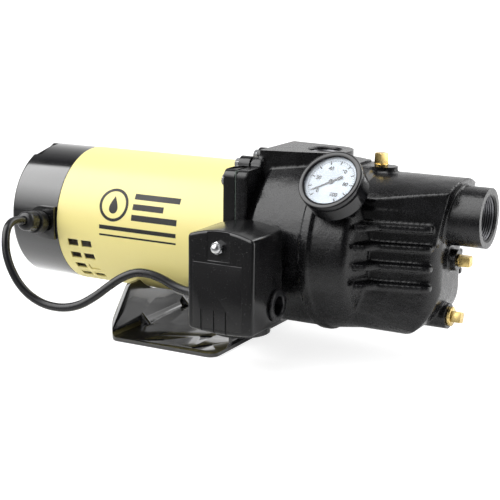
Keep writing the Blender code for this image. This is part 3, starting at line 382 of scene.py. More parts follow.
def placed(tree, kind, links=(), **values):
    """A node with its values set and its inputs linked from sockets."""
    made = tree.nodes.new(kind)
    for name, value in values.items():
        if hasattr(made, name):
            setattr(made, name, value)
        else:
            made.inputs[name.replace("_", " ")].default_value = value
    for name, socket in dict(links).items():
        tree.links.new(socket, made.inputs[name])
    return made


def spread(tree, value, low, high, to_low, to_high):
    made = placed(tree, "ShaderNodeMapRange", {"Value": value})
    for index, number in enumerate((low, high, to_low, to_high)):
        made.inputs[index + 1].default_value = number
    return made.outputs[0]


def math(tree, operation, a, b):
    made = tree.nodes.new("ShaderNodeMath")
    made.operation = operation
    for socket, value in zip(made.inputs, (a, b)):
        if isinstance(value, (int, float)):
            socket.default_value = value
        else:
            tree.links.new(value, socket)
    return made.outputs[0]


def group_noise(group, size, vector, **values):
    """Noise whose features are as large as a size socket says."""
    scale = math(group, "DIVIDE", 1.0, size)
    return placed(group, "ShaderNodeTexNoise", {"Vector": vector, "Scale": scale}, **values).outputs["Fac"]


def grain_group():
    """Sand grain of a painted casting: coarse lumps, fine grains and a roughness that follows them."""
    group, start, end = shader_group("Sand Grain", [("Grain Size", 0.0016), ("Lump Size", 0.012)],
                                     ["Height", "Roughness", "Pits"])
    place = group.nodes.new("ShaderNodeTexCoord").outputs["Object"]
    fine = group_noise(group, start.outputs["Grain Size"], place, Detail=2.5, Roughness=0.6)
    lump = group_noise(group, start.outputs["Lump Size"], place, Detail=2.0)
    grains = math(group, "MULTIPLY", fine, spread(group, lump, 0.42, 0.62, 0.35, 1.0))
    height = math(group, "ADD", grains, math(group, "MULTIPLY", lump, 1.6))
    group.links.new(height, end.inputs["Height"])
    group.links.new(spread(group, fine, 0.3, 0.7, 0.16, 0.34), end.inputs["Roughness"])
    group.links.new(spread(group, grains, 0.18, 0.3, 0.0, 1.0), end.inputs["Pits"])
    return group


def skin_group():
    """Orange peel, handling smears and settled dust of a smooth coat."""
    group, start, end = shader_group("Coat Skin", [("Peel Size", 0.003), ("Smear Size", 0.05)],
                                     ["Height", "Smear", "Dust"])
    place = group.nodes.new("ShaderNodeTexCoord").outputs["Object"]
    peel = group_noise(group, start.outputs["Peel Size"], place, Detail=1.0)
    smear = group_noise(group, start.outputs["Smear Size"], place, Detail=4.0)
    speck = placed(group, "ShaderNodeTexNoise", {"Vector": place}, Scale=900.0, Detail=2.0)
    group.links.new(peel, end.inputs["Height"])
    group.links.new(spread(group, smear, 0.35, 0.65, 0.0, 1.0), end.inputs["Smear"])
    group.links.new(spread(group, speck.outputs["Fac"], 0.68, 0.76, 0.0, 1.0), end.inputs["Dust"])
    return group


def metal_group():
    """Turning lines and stains of bare metal."""
    group, start, end = shader_group("Tool Marks", [("Line Size", 0.0006)], ["Height", "Stain"])
    place = group.nodes.new("ShaderNodeTexCoord").outputs["Object"]
    line = group_noise(group, start.outputs["Line Size"], place, Detail=2.0)
    stain = placed(group, "ShaderNodeTexNoise", {"Vector": place}, Scale=160.0, Detail=4.0)
    group.links.new(line, end.inputs["Height"])
    group.links.new(spread(group, stain.outputs["Fac"], 0.35, 0.7, 0.0, 1.0), end.inputs["Stain"])
    return group


GROUPS = {}


def new_material(name, metallic=0.0, **values):
    made = bpy.data.materials.new(name)
    made.use_nodes = True
    shader = made.node_tree.nodes["Principled BSDF"]
    shader.inputs["Metallic"].default_value = metallic
    for label, value in values.items():
        shader.inputs[label.replace("_", " ")].default_value = value
    return made, made.node_tree, shader


def with_group(tree, group, **values):
    made = tree.nodes.new("ShaderNodeGroup")
    made.node_tree = GROUPS[group]
    for label, value in values.items():
        made.inputs[label.replace("_", " ")].default_value = value
    return made


def blended(tree, mask, first, second):
    """Colour between two, by a mask."""
    mix = tree.nodes.new("ShaderNodeMix")
    mix.data_type = "RGBA"
    tree.links.new(mask, mix.inputs["Factor"])
    mix.inputs["A"].default_value = (*first, 1)
    mix.inputs["B"].default_value = (*second, 1)
    return mix.outputs["Result"]


def painted(tree, shader, colour, roughness, height, strength, distance):
    """Feeds a finish's changing colour, roughness and relief to its shader."""
    tree.links.new(colour, shader.inputs["Base Color"])
    tree.links.new(roughness, shader.inputs["Roughness"])
    bump = placed(tree, "ShaderNodeBump", {"Height": height}, Strength=strength, Distance=distance)
    tree.links.new(bump.outputs["Normal"], shader.inputs["Normal"])


def shade(colour, factor):
    return tuple(min(1.0, c * factor) for c in colour)


def cast_paint(name, colour, depth):
    made, tree, shader = new_material(name, Specular_IOR_Level=0.42)
    grain = with_group(tree, "Sand Grain", Grain_Size=0.0015, Lump_Size=0.016)
    tone = blended(tree, grain.outputs["Pits"], shade(colour, 0.75), shade(colour, 1.5))
    painted(tree, shader, tone, grain.outputs["Roughness"], grain.outputs["Height"], 0.6, depth)
    return made


def enamel(name, colour, low, high, peel=0.00006, dust=(0.25, 0.25, 0.24), coat=0.0):
    """A smooth sprayed coat; low and high bound its roughness."""
    made, tree, shader = new_material(name, Coat_Weight=coat, Coat_Roughness=0.06)
    skin = with_group(tree, "Coat Skin")
    tone = blended(tree, math(tree, "MULTIPLY", skin.outputs["Dust"], 0.3), colour, dust)
    roughness = spread(tree, skin.outputs["Smear"], 0.0, 1.0, low, high)
    painted(tree, shader, tone, roughness, skin.outputs["Height"], 0.35, peel)
    return made


def bare_metal(name, colour, low, high, line=0.0006):
    made, tree, shader = new_material(name, metallic=1.0)
    marks = with_group(tree, "Tool Marks", Line_Size=line)
    tone = blended(tree, marks.outputs["Stain"], colour, shade(colour, 0.72))
    roughness = spread(tree, marks.outputs["Stain"], 0.0, 1.0, low, high)
    painted(tree, shader, tone, roughness, marks.outputs["Height"], 0.3, 0.00004)
    return made


def moulding(name, colour, low, high, grain=0.0007):
    """Moulded plastic or rubber with a fine spark-eroded grain."""
    made, tree, shader = new_material(name, Specular_IOR_Level=0.45)
    skin = with_group(tree, "Coat Skin", Peel_Size=grain, Smear_Size=0.02)
    tone = blended(tree, skin.outputs["Smear"], colour, shade(colour, 1.35))
    roughness = spread(tree, skin.outputs["Smear"], 0.0, 1.0, low, high)
    painted(tree, shader, tone, roughness, skin.outputs["Height"], 0.4, 0.00005)
    return made


def clear_window(name):
    made, tree, shader = new_material(name, Roughness=0.03, Alpha=0.1, IOR=1.5)
    shader.inputs["Base Color"].default_value = (0.95, 0.98, 1.0, 1)
    return made


LOOKS = {}


def make_finishes(finish):
    GROUPS.update({"Sand Grain": grain_group(), "Coat Skin": skin_group(), "Tool Marks": metal_group()})
    LOOKS.update({
        "cream_paint": enamel("cream_enamel", tuple(finish.cream), 0.3, 0.4, dust=(0.55, 0.45, 0.2)),
        "black_enamel": enamel("black_enamel", tuple(finish.black), 0.1, 0.2, coat=1.0),
        "switch_enamel": enamel("switch_enamel", tuple(finish.black), 0.14, 0.24, peel=0.0001),
        "smooth_casting": enamel("smooth_casting", tuple(finish.casting), 0.16, 0.3, peel=0.0002),
        "black_casting": cast_paint("sand_casting", tuple(finish.casting), finish.grain_depth),
        "zinc_plate": bare_metal("zinc_plate", (0.78, 0.79, 0.80), 0.16, 0.34),
        "machined_face": bare_metal("bare_steel", (0.42, 0.42, 0.42), 0.3, 0.5),
        "dark_thread": bare_metal("threaded_iron", (0.16, 0.16, 0.17), 0.3, 0.45),
        "brass": bare_metal("dull_brass", tuple(finish.brass), 0.2, 0.38),
        "rubber": moulding("black_rubber", (0.010, 0.010, 0.011), 0.2, 0.32),
        "black_plastic": moulding("black_plastic", (0.014, 0.014, 0.015), 0.22, 0.36),
        "gauge_black": enamel("gauge_black", (0.005, 0.005, 0.006), 0.12, 0.2),
        "grey_plastic": moulding("filled_plastic", (0.2, 0.2, 0.19), 0.35, 0.5),
        "phenolic": moulding("phenolic", (0.11, 0.05, 0.03), 0.35, 0.5),
        "dial_white": moulding("dial_white", (0.50, 0.56, 0.63), 0.45, 0.55),
        "dial_ink": moulding("dial_ink", (0.004, 0.004, 0.005), 0.5, 0.6),
        "shell_ink": enamel("shell_ink", (0.006, 0.006, 0.005), 0.5, 0.6),
        "gauge_glass": clear_window("gauge_window"),
        "copper_winding": bare_metal("varnished_copper", (0.55, 0.22, 0.08), 0.25, 0.4, line=0.0009),
        "cast_aluminium": bare_metal("cast_aluminium", (0.55, 0.55, 0.56), 0.4, 0.6, line=0.0015),
        "ceramic": moulding("lapped_ceramic", (0.75, 0.73, 0.66), 0.1, 0.2),
        "gasket": moulding("gasket_fibre", (0.14, 0.17, 0.15), 0.7, 0.9, grain=0.0012),
    })


def dress_frame():
    """Every frame node that stays gets the finish of its own slot."""
    slots = {part["node"]: part["material_slot"] for part in frame["record"]["subparts"]}
    for name, node in frame["nodes"].items():
        node.data.materials.clear()
        node.data.materials.append(LOOKS[slots[name]])
    for name, look in (("switch_base", "switch_enamel"), ("contact_block", "phenolic")):
        frame["nodes"][name].data.materials[0] = LOOKS[look]


# ---- the lead and its fittings ------------------------------------------------------------
def motor_lead(diameter):
    points = smooth_route(LEAD_ROUTE, 3.0)
    points.insert(1, points[0] + GLAND_AXIS * 1.5)
    curve = bpy.data.curves.new("motor_cable", "CURVE")
    curve.dimensions = "3D"
    curve.bevel_depth = diameter / 2
    curve.bevel_resolution = 8
    curve.use_fill_caps = True
    spline = curve.splines.new("POLY")
    spline.points.add(len(points) - 1)
    for point, place in zip(spline.points, points):
        point.co = (*(place * MM), 1)
    lead = added("motor_cable", curve)
    lead.data.materials.append(LOOKS["rubber"])
    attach(lead, "root")
    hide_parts("motor_lead")
    length = sum((q - p).length for p, q in zip(points, points[1:])) * MM
    return lead, length


def gland():
    """Round body with a fluted skirt and a dome nut on the cap's pad."""
    n, base = GLAND_AXIS, GLAND_BASE
    profile = [(0, 4), (11.6, 4), (12.6, 5), (12.6, 16.4), (11.8, 17.4), (8.6, 17.6), (8.6, 20), (0, 20)]
    barrel = turned("barrel", profile, base, n, 60)
    end = (Vector(LEAD_ROUTE[0]) - base).length - 0.3
    body = fitted(barrel, "black_plastic", "black_plastic", "gland_body")
    body.name = "cable_gland_body"
    profile = ([(0, end - 0.4), (4.7, end - 0.4), (5.4, end)] + arc((5.2, end - 5.6), 5.4, 75, 0, 8)
               + [(10.9, 24.5), (10.9, 21.2), (10.3, 20.4), (0, 20.4)])
    nut = turned("nut", profile, base, n, 60)
    flutes = []
    for i in range(12):
        turn = facing(n) @ Matrix.Rotation(i * pi / 6, 4, "Z")
        centre = base + n * 22 + (turn.to_3x3() @ Vector((11.3, 0, 0)))
        flutes.append(cylinder("flute", centre - n * 4, n, 11, 1.2, 12))
    nut = combine(nut, flutes, "DIFFERENCE")
    nut.name = "cable_gland_nut"
    nut = fitted(nut, "black_plastic", "black_plastic", "gland_nut")
    return body, nut


def strain_relief():
    """Tapered and ribbed rubber sleeve where the lead enters the switch."""
    x0, side = RELIEF_LOW.x, COVER_LOW.x - 0.3
    profile = [(0, 71), (13.0, 71), (13.0, 68.8), (10.6, 68.8), (10.6, side - 0.2), (13.4, side - 0.2),
               (14.0, side - 0.8), (14.0, side - 2.2), (13.2, side - 2.8), (8.6, side - 3.2)]
    for i in range(3):
        x = side - 5.2 - i * 3.6
        r = 8.3 - 0.55 * i
        profile += [(r, x + 0.8), (r - 1.3, x), (r - 1.3, x - 1.0), (r - 0.4, x - 1.6)]
    profile += [(5.6, x0 + 0.6), (5.0, x0), (0, x0)]
    sleeve = turned("cable_sleeve", profile, LEAD_ENTRY, X_AXIS, 48)
    return fitted(sleeve, "rubber", "rubber", "strain_relief")


# ---- motor --------------------------------------------------------------------------------
VENT_X, VENT_ANGLES = (-132.5, -115.0), (15, 27.5, 40, 52.5)
VENT_HALF = Vector((6.6, 4.0, 4.1))


def motor_shell(steps):
    wall = 1.8
    x0, x1 = SHELL_LOW.x, SHELL_HIGH.x
    profile = [(MOTOR_R - wall, x0), (MOTOR_R - 0.5, x0), (MOTOR_R, x0 + 0.5), (MOTOR_R, x1 - 0.5),
               (MOTOR_R - 0.5, x1), (MOTOR_R - wall, x1)]
    shell = turned("motor_tube", profile, SHAFT, X_AXIS, steps)
    vents = []
    for side in (-1, 1):
        for x in VENT_X:
            for angle in VENT_ANGLES:
                a = -radians(angle) if side > 0 else pi + radians(angle)
                centre = around(MOTOR_R, a, x)
                vents.append(box("vent", centre - VENT_HALF, centre + VENT_HALF, spin=(a, "X")))
    shell = combine(shell, vents, "DIFFERENCE")
    shell.name = "motor_tube"
    # One vent on the gauge side is still closed by its knock-out, sunk a little below the skin.
    a = pi + radians(VENT_ANGLES[2])
    centre = around(MOTOR_R - 1.3, a, VENT_X[1])
    half = VENT_HALF - Vector((0.4, 3.6, 0.4))
    blank = rounded(box("vent_blank", centre - half, centre + half, spin=(a, "X")), 0.2, 2)
    fitted(blank, "cream_paint", "cream_paint")
    return fitted(shell, "cream_paint", "cream_paint", "motor_shell", angle=30)


def ribbon(form, points, width, lift):
    """A band of one width laid on the shell's near side through (x, height) points."""
    rails = []
    for i, (x, z) in enumerate(points):
        before = points[max(0, i - 1)]
        after = points[min(len(points) - 1, i + 1)]
        along = Vector((after[0] - before[0], after[1] - before[1])).normalized()
        across = Vector((-along.y, along.x)) * width / 2
        rails.append([wrapped(x + across.x * s, z + across.y * s, lift) for s in (-1, 0, 1)])
    rows = [[form.verts.new(p) for p in rail] for rail in rails]
    for one, two in zip(rows, rows[1:]):
        for k in range(2):
            form.faces.new((one[k], one[k + 1], two[k + 1], two[k]))


def wrapped(x, height, lift):
    """A point on the shell's near side; height is measured along the shell from the shaft's level."""
    angle = height / MOTOR_R
    r = MOTOR_R + lift
    return Vector((x, -r * cos(angle), SHAFT_Z + r * sin(angle))) * MM


def shell_mark():
    """Plain printed mark on the shell: a water drop in a ring, beside and above straight bars."""
    form = bmesh.new()
    x, z, lift = -80.0, 28.0, 0.08
    turns = [2 * pi * i / 48 for i in range(48)]
    drop = [(7.4 * sin(t) * sin(t / 2) ** 1.4, 9.6 * cos(t)) for t in turns]
    centre = form.verts.new(wrapped(x, z - 2, lift))
    rings = []
    for share in (0.5, 1.0):
        rings.append([form.verts.new(wrapped(x + u * share, z - 2 + (v + 2) * share, lift))
                      for u, v in drop])
    for i in range(48):
        form.faces.new((centre, rings[0][i], rings[0][(i + 1) % 48]))
        form.faces.new((rings[0][i], rings[1][i], rings[1][(i + 1) % 48], rings[0][(i + 1) % 48]))
    circle = arc((x, z), 16.5, 0, 360, 72)
    ribbon(form, circle, 3.2, lift)
    for z, width, x0, x1 in ((39.5, 6.4, -56, 0), (28.0, 6.4, -56, -18), (16.5, 6.4, -56, 0),
                             (3.0, 4.4, -96, 0), (-5.5, 2.0, -96, 0)):
        ribbon(form, [(x0, z), (x1, z)], width, lift)
    bmesh.ops.recalc_face_normals(form, faces=form.faces)
    mark = shaped("shell_mark", form)
    skin = mark.modifiers.new("thickness", "SOLIDIFY")
    skin.thickness = 0.06 * MM
    skin.offset = 0.0
    return fitted(frozen(mark), "shell_ink", "black_enamel")


def rear_cap(steps):
    wall, corner = 1.2, 5.0
    r = MOTOR_R - 0.2
    x0, x1 = CAP_LOW.x, CAP_HIGH.x
    outer = arc((r - corner, x0 + corner), corner, 0, -90, 12)
    inner = arc((r - corner, x0 + corner), corner - wall, -90, 0, 8)
    step = [(58, x0), (57, x0 + 0.9), (0, x0 + 0.9)]
    profile = [(0, x0 + wall + 1)] + inner + [(r - wall, x1), (r - 0.3, x1), (r, x1 - 0.3)] + outer + step
    cap = turned("end_cap", profile, SHAFT, X_AXIS, steps)
    outline = [(-154.0, 92.0), (-154.0, 128.0)] + arc((-170.0, SHAFT_Z), 18.0, 90, 270, 24)
    pad = rounded(plate("pad", outline, X_AXIS, Z_AXIS, 66.0, 77.4), 1.4, 3, 60)
    seat = rounded(cylinder("seat", GLAND_BASE - GLAND_AXIS * 5, GLAND_AXIS, 8.6, 8.2, 40), 0.5)
    cap = joined("end_cap", [cap, pad, seat])
    place, half = around(r + 1.5, radians(103), x0 + 3), Vector((9.0, 18.0, 7.0))
    notch = box("notch", place - half, place + half, spin=(radians(13), "X"))
    hole = cylinder("hole", GLAND_BASE - GLAND_AXIS * 20, GLAND_AXIS, 40.0, 6.6, 24)
    cap = combine(cap, [rounded(notch, 3.0, 4), hole], "DIFFERENCE")
    cap.name = "end_cap"
    return fitted(cap, "black_enamel", "black_enamel", "rear_cap")


# ---- castings -----------------------------------------------------------------------------
def flange_pieces(x0, x1, corner=8.0):
    """The square flange of adapter and casing, with ears for the three top bolts."""
    half = FLANGE_HALF
    outline = []
    for sy, sz, start in ((1, 1, 0), (-1, 1, 90), (-1, -1, 180), (1, -1, 270)):
        outline += arc((sy * (half - corner), SHAFT_Z + sz * (half - corner)), corner, start, start + 90, 8)
    pieces = [plate("flange", outline, Y_AXIS, Z_AXIS, x0, x1)]
    pieces += [cylinder("ear", (x0, y, SHAFT_Z + z), X_AXIS, x1 - x0, 9.0, 32) for y, z in TOP_BOLTS]
    return pieces


def adapter():
    x0, x1 = SHELL_HIGH.x + 0.3, ADAPTER_HIGH.x
    body = rounded(joined("motor_adapter", flange_pieces(x0, x1)), 1.1)
    spigot = turned("spigot", [(60.0, 50.0), (72.5, 50.0), (72.5, x0 + 1.5), (60.0, x0 + 1.5)],
                    SHAFT, X_AXIS, 64)
    hub = turned("hub", [(20.5, 41.0), (27.0, 41.0), (27.0, x0 + 1), (20.5, x0 + 1)], SHAFT, X_AXIS, 48)
    body = joined("motor_adapter", [body, spigot, hub])
    bore = cylinder("bore", (x0 - 5, 0, SHAFT_Z), X_AXIS, 40, 20.4, 48)
    holes = [cylinder("hole", (x0 - 1, y, SHAFT_Z + z), X_AXIS, 20, 4.0, 16) for y, z in CASING_BOLTS]
    body = combine(body, [bore] + holes, "DIFFERENCE")
    body.name = "motor_adapter"
    return fitted(body, "smooth_casting", "black_casting", "adapter_bracket")


def volute():
    r, x0, x1, edge = VOLUTE_R, VOLUTE_X0, VOLUTE_X1, 9.0
    profile = ([(0, x1 + 12), (r - 28, x1 + 12), (r - 14, x1 + 2)]
               + arc((r - 4 - edge, x1 - edge), edge, 60, 0, 6)
               + [(r, 158), (r, x0 + 3), (r - 3, x0), (r - 13, x0 - 2), (r - 13, x0 - 12), (0, x0 - 12)])
    return turned("volute", profile, SHAFT, X_AXIS, 128)


def chest_plan(z0, z1, back, front, end, corner):
    """Plan outline of the casing's front, back and front being its half widths."""
    near = arc((end - corner, -(front - corner)), corner, -75, 0, 12)
    far = arc((end - corner, front - corner), corner, 0, 75, 12)
    outline = [(150.0, -back), (212.0, -back)] + near + far + [(212.0, back), (150.0, back)]
    return plate("plan", outline, X_AXIS, Y_AXIS, z0, z1)


def chest():
    """Front chest that holds the jet: plan, side and front outlines crossed with each other."""
    body = chest_plan(10.0, 160.0, 55.0, 45.0, CHEST_END, 23.0)
    nose = [(230.0 + 43.0 * sin(a), 84.5 - 53.0 * cos(a)) for a in (i * pi / 48 for i in range(25))]
    side = [(140.0, CHEST_FLOOR)] + nose + [(CHEST_END, 165.0), (140.0, 165.0)]
    body = combine(body, [plate("side", side, X_AXIS, Z_AXIS, -70.0, 70.0)], "INTERSECT")
    half, belly = 58.0, 38.0
    front = (arc((belly - half, CHEST_FLOOR + belly), belly, 180, 270, 16)
             + arc((half - belly, CHEST_FLOOR + belly), belly, 270, 360, 16)
             + [(half, 170.0), (-half, 170.0)])
    return combine(body, [plate("front", front, Y_AXIS, Z_AXIS, 140.0, 290.0)], "INTERSECT")


def jet_housing():
    """Top of the chest: an arched roof over tapering sides, with an end face that leans back."""
    end, top, roof_r = 285.0, 188.5, 85.0
    body = chest_plan(120.0, 195.0, 54.0, 38.5, end, 5.0)
    roof = cylinder("roof", (140, 0, top - roof_r), X_AXIS, 160, roof_r, 160)
    side = [(140, 125), (CHEST_END - 2, 125), (CHEST_END + 1.5, 142), (end, 192), (140, 192)]
    body = combine(body, [roof], "INTERSECT")
    body = combine(body, [plate("side", side, X_AXIS, Z_AXIS, -70.0, 70.0)], "INTERSECT")
    return rounded(body, 1.6, 2, 25)


RIB_LEVELS = (144.5, 125.0, 105.5, 86.0)


def ribs():
    """Four straight ribs on each side of the chest, which run onto the volute's shoulder."""
    made = []
    for side in (-1, 1):
        for z in RIB_LEVELS:
            outline = [(201, side * 44), (201, side * 76), (212, side * 72.5), (222, side * 61),
                       (265, side * 50.2), (269, side * 47.5), (270, side * 40)]
            if side > 0:
                outline.reverse()
            made.append(plate("rib", outline, X_AXIS, Y_AXIS, z - 3.1, z + 2.9))
    return made


def casting_solids():
    """Overlapping solids that fuse into the pump casing."""
    top = DISCHARGE_TOP
    block = ([(80, -43), (80, 35), (118, 31)] + arc((DISCHARGE_X, 1), 29.0, 70, -60, 16) + [(118, -34)])
    block.reverse()
    ledge = ([(140, -30), (178, -14), (202, -10)] + arc((203, 0), 10.0, -80, 80, 10)
             + [(202, 10), (178, 20), (148, 35)])
    return flange_pieces(FLANGE_X0, FLANGE_X1) + ribs() + [
        volute(), chest(), jet_housing(),
        plate("block", block, X_AXIS, Y_AXIS, 150.0, top + 2),
        plate("ledge", ledge, X_AXIS, Y_AXIS, 150.0, PLATEAU_Z + 2),
        turned("band", [(VOLUTE_R - 6, 149), (VOLUTE_R + 2.2, 149), (VOLUTE_R + 2.2, 158),
                        (VOLUTE_R - 6, 158)], SHAFT, X_AXIS, 128),
        cylinder("gauge_boss", GAUGE_FACE - GAUGE_N * 44, GAUGE_N, 15, 14.0, 32),
        cylinder("ejector_boss", (250, 0, EJECTOR_Z), X_AXIS, 32, 10.8, 40),
        cylinder("drain_boss", (232, 0, DRAIN_Z), X_AXIS, 43, 12.9, 40),
        cylinder("switch_boss", (105, -60, 84), -Y_AXIS, 28.4, 12.0, 32),
        cylinder("suction", (258, 0, SUCTION_Z), X_AXIS, SUCTION_X - 256, SUCTION_R + 0.15, 96),
    ]


def pump_casing(voxel):
    top = DISCHARGE_TOP
    body = fused(grouped("casting", casting_solids()), voxel, 4)
    cutters = [
        box("joint_face", (FLANGE_X0 - 10, -120, 0), (FLANGE_X0, 120, 240)),
        box("top_face", (60, -60, top), (190, 60, top + 20)),
        box("suction_face", (SUCTION_X, -60, 100), (SUCTION_X + 20, 60, 200)),
        box("ledge_face", (176, -24, PLATEAU_Z), (216, 24, PLATEAU_Z + 12)),
        box("ejector_face", (281, -20, EJECTOR_Z - 14.6), (292, 20, EJECTOR_Z + 12)),
        box("drain_face", (274, -20, DRAIN_Z - 20), (290, 20, DRAIN_Z + 20)),
        turned("discharge_bore", [(0, top + 5), (DISCHARGE_BORE_R + 6.5, top + 5),
                                  (DISCHARGE_BORE_R, top - 1.5), (DISCHARGE_BORE_R, 165), (0, 165)],
               (DISCHARGE_X, 0, 0), Z_AXIS, 64),
        turned("suction_bore", [(0, SUCTION_X + 5), (SUCTION_BORE_R + 8.0, SUCTION_X + 5),
                                (SUCTION_BORE_R + 1.2, SUCTION_X - 1.8), (SUCTION_BORE_R + 1.2, 268),
                                (14, 262), (14, 200), (0, 200)], (0, 0, SUCTION_Z), X_AXIS, 96),
        cylinder("prime_bore", (PRIME_X, 0, 166), Z_AXIS, 40, 6.7, 24),
        cylinder("ejector_bore", (262, 0, EJECTOR_Z), X_AXIS, 24, 6.2, 24),
        cylinder("drain_bore", (244, 0, DRAIN_Z), X_AXIS, 46, 6.8, 24),
        turned("chamber", [(0, 150), (69, 150), (69, 60), (0, 60)], SHAFT, X_AXIS, 96),
        cylinder("gauge_bore", GAUGE_FACE - GAUGE_N * 50, GAUGE_N, 34, 5.8, 24),
    ]
    holes = [cylinder("hole", (FLANGE_X0 - 2, y, SHAFT_Z + z), X_AXIS, 14, 3.6, 16) for y, z in CASING_BOLTS]
    body = combine(body, cutters + holes, "DIFFERENCE", solver="MANIFOLD")
    body.name = "pump_body"
    return fitted(body, "black_casting", "black_casting", "pump_casing", angle=40)


def threads(name, start, direction, radius, pitch, turns):
    """Inside thread: a ridged sleeve with one V to each turn."""
    profile = [(radius + 1.4, 0)]
    for i in range(turns):
        profile += [(radius + 1.0, i * pitch), (radius, (i + 0.5) * pitch)]
    profile += [(radius + 1.0, turns * pitch), (radius + 1.4, turns * pitch)]
    sleeve = turned(name, profile, start, direction, 96)
    return fitted(sleeve, "dark_thread", "black_casting", angle=20)


def hexagon_bolt(name, node, seat, direction, head_r, head_h, shank_r, shank_l):
    """Hexagon head with a chamfered crown and a washer face."""
    n = Vector(direction)
    head = cylinder("head", Vector(seat) - n * head_h, n, head_h - 0.5, head_r, 6)
    crown = turned("crown", [(0, -head_h), (head_r * 0.86, -head_h), (head_r * 1.02, -head_h + 1.2),
                             (head_r * 1.02, -0.4), (0, -0.4)], seat, n, 48)
    head = combine(head, [crown], "INTERSECT")
    washer = turned("washer", [(0, -1.0), (head_r * 0.95, -1.0), (head_r * 0.95, 0), (0, 0)], seat, n, 48)
    shank = cylinder("shank", Vector(seat) - n, n, shank_l + 1, shank_r, 24)
    bolt = grouped(name, [rounded(head, 0.25, 2), washer, shank])
    return fitted(bolt, "zinc_plate", "zinc_plate", node)


def bolts():
    for i, (y, z) in enumerate(CASING_BOLTS):
        head_r = 6.2 if (y, z) in TOP_BOLTS else 7.3
        hexagon_bolt(f"flange_bolt_{i + 1}", f"casing_bolt_{i + 1}", (SHELL_HIGH.x, y, SHAFT_Z + z), X_AXIS,
                     head_r, 6.0, 3.2, 24)
    for i in (1, 2):
        node = f"foot_bolt_{i}"
        seat = (node_box(node)[0].x + 5, *node_middle(node).yz)
        hexagon_bolt(f"bracket_bolt_{i}", node, seat, X_AXIS, 6.5, 5.0, 3.2, 12)


def square_plug(name, body, seat, direction, thread_r, collar_r, collar_h, square, head, spin):
    """A square-headed pipe plug with a turned collar and a domed head."""
    n = Vector(direction)
    seat = Vector(seat) + n * 0.3
    thread = cylinder("thread", seat - n * 9, n, 10, thread_r, 32)
    collar = turned("collar", [(0, 0), (collar_r - 0.4, 0), (collar_r, 0.4), (collar_r, collar_h - 0.5),
                               (collar_r - 0.8, collar_h), (0, collar_h)], seat, n, 48)
    corner = square / 2 * sqrt(2)
    block = cylinder("head", seat + n * (collar_h - 1), n, head + 1, corner * 1.03, 4, corner * 0.97, spin)
    dome = turned("dome", [(0, -1), (corner * 1.2, -1), (corner * 1.2, collar_h + head - 2.4),
                           (corner * 0.8, collar_h + head), (0, collar_h + head)], seat, n, 48)
    block = rounded(combine(block, [dome], "INTERSECT"), 0.5, 3)
    plug = grouped(name, [thread, collar, block])
    return fitted(plug, "brass", "brass", body, body=body)


def plugs():
    """Each plug's node, seat and direction, then its thread, collar and square sizes and its turn."""
    for node, seat, direction, *sizes, spin in (
            ("priming_plug", (PRIME_X, 0, PLATEAU_Z), Z_AXIS, 6.2, 7.0, 2.0, 9.8, 10.6, 20),
            ("jet_access_plug", (281, 0, EJECTOR_Z), X_AXIS, 5.6, 5.9, 2.0, 10.2, 10.6, 45),
            ("drain_plug", (274, 0, DRAIN_Z), X_AXIS, 6.2, 9.8, 3.5, 11.0, 9.6, 30)):
        square_plug(f"{node}_brass", node, seat, direction, *sizes, radians(spin))


# ---- foot ---------------------------------------------------------------------------------
def cradle(top):
    r = MOTOR_R + 0.5
    dip = degrees(asin((SHAFT_Z - top) / r))
    return arc((0, SHAFT_Z), r, -dip, dip - 180, 40)


def slot_cutter(x, y, length, width, angle):
    half, r = (length - width) / 2, width / 2
    outline = arc((half, 0), r, -90, 90, 10) + arc((-half, 0), r, 90, 270, 10)
    turn = radians(angle)
    return plate("slot", outline, (cos(turn), sin(turn), 0), (-sin(turn), cos(turn), 0), -3, 7, (x, y, 0))


# Slots of the foot on each side, as (x, y, length, width, angle).
FOOT_SLOTS = ((-13.0, 93.0, 20.0, 6.0, 35.0), (26.0, 56.0, 14.0, 7.0, 20.0), (40.0, 88.0, 24.0, 6.0, 60.0))


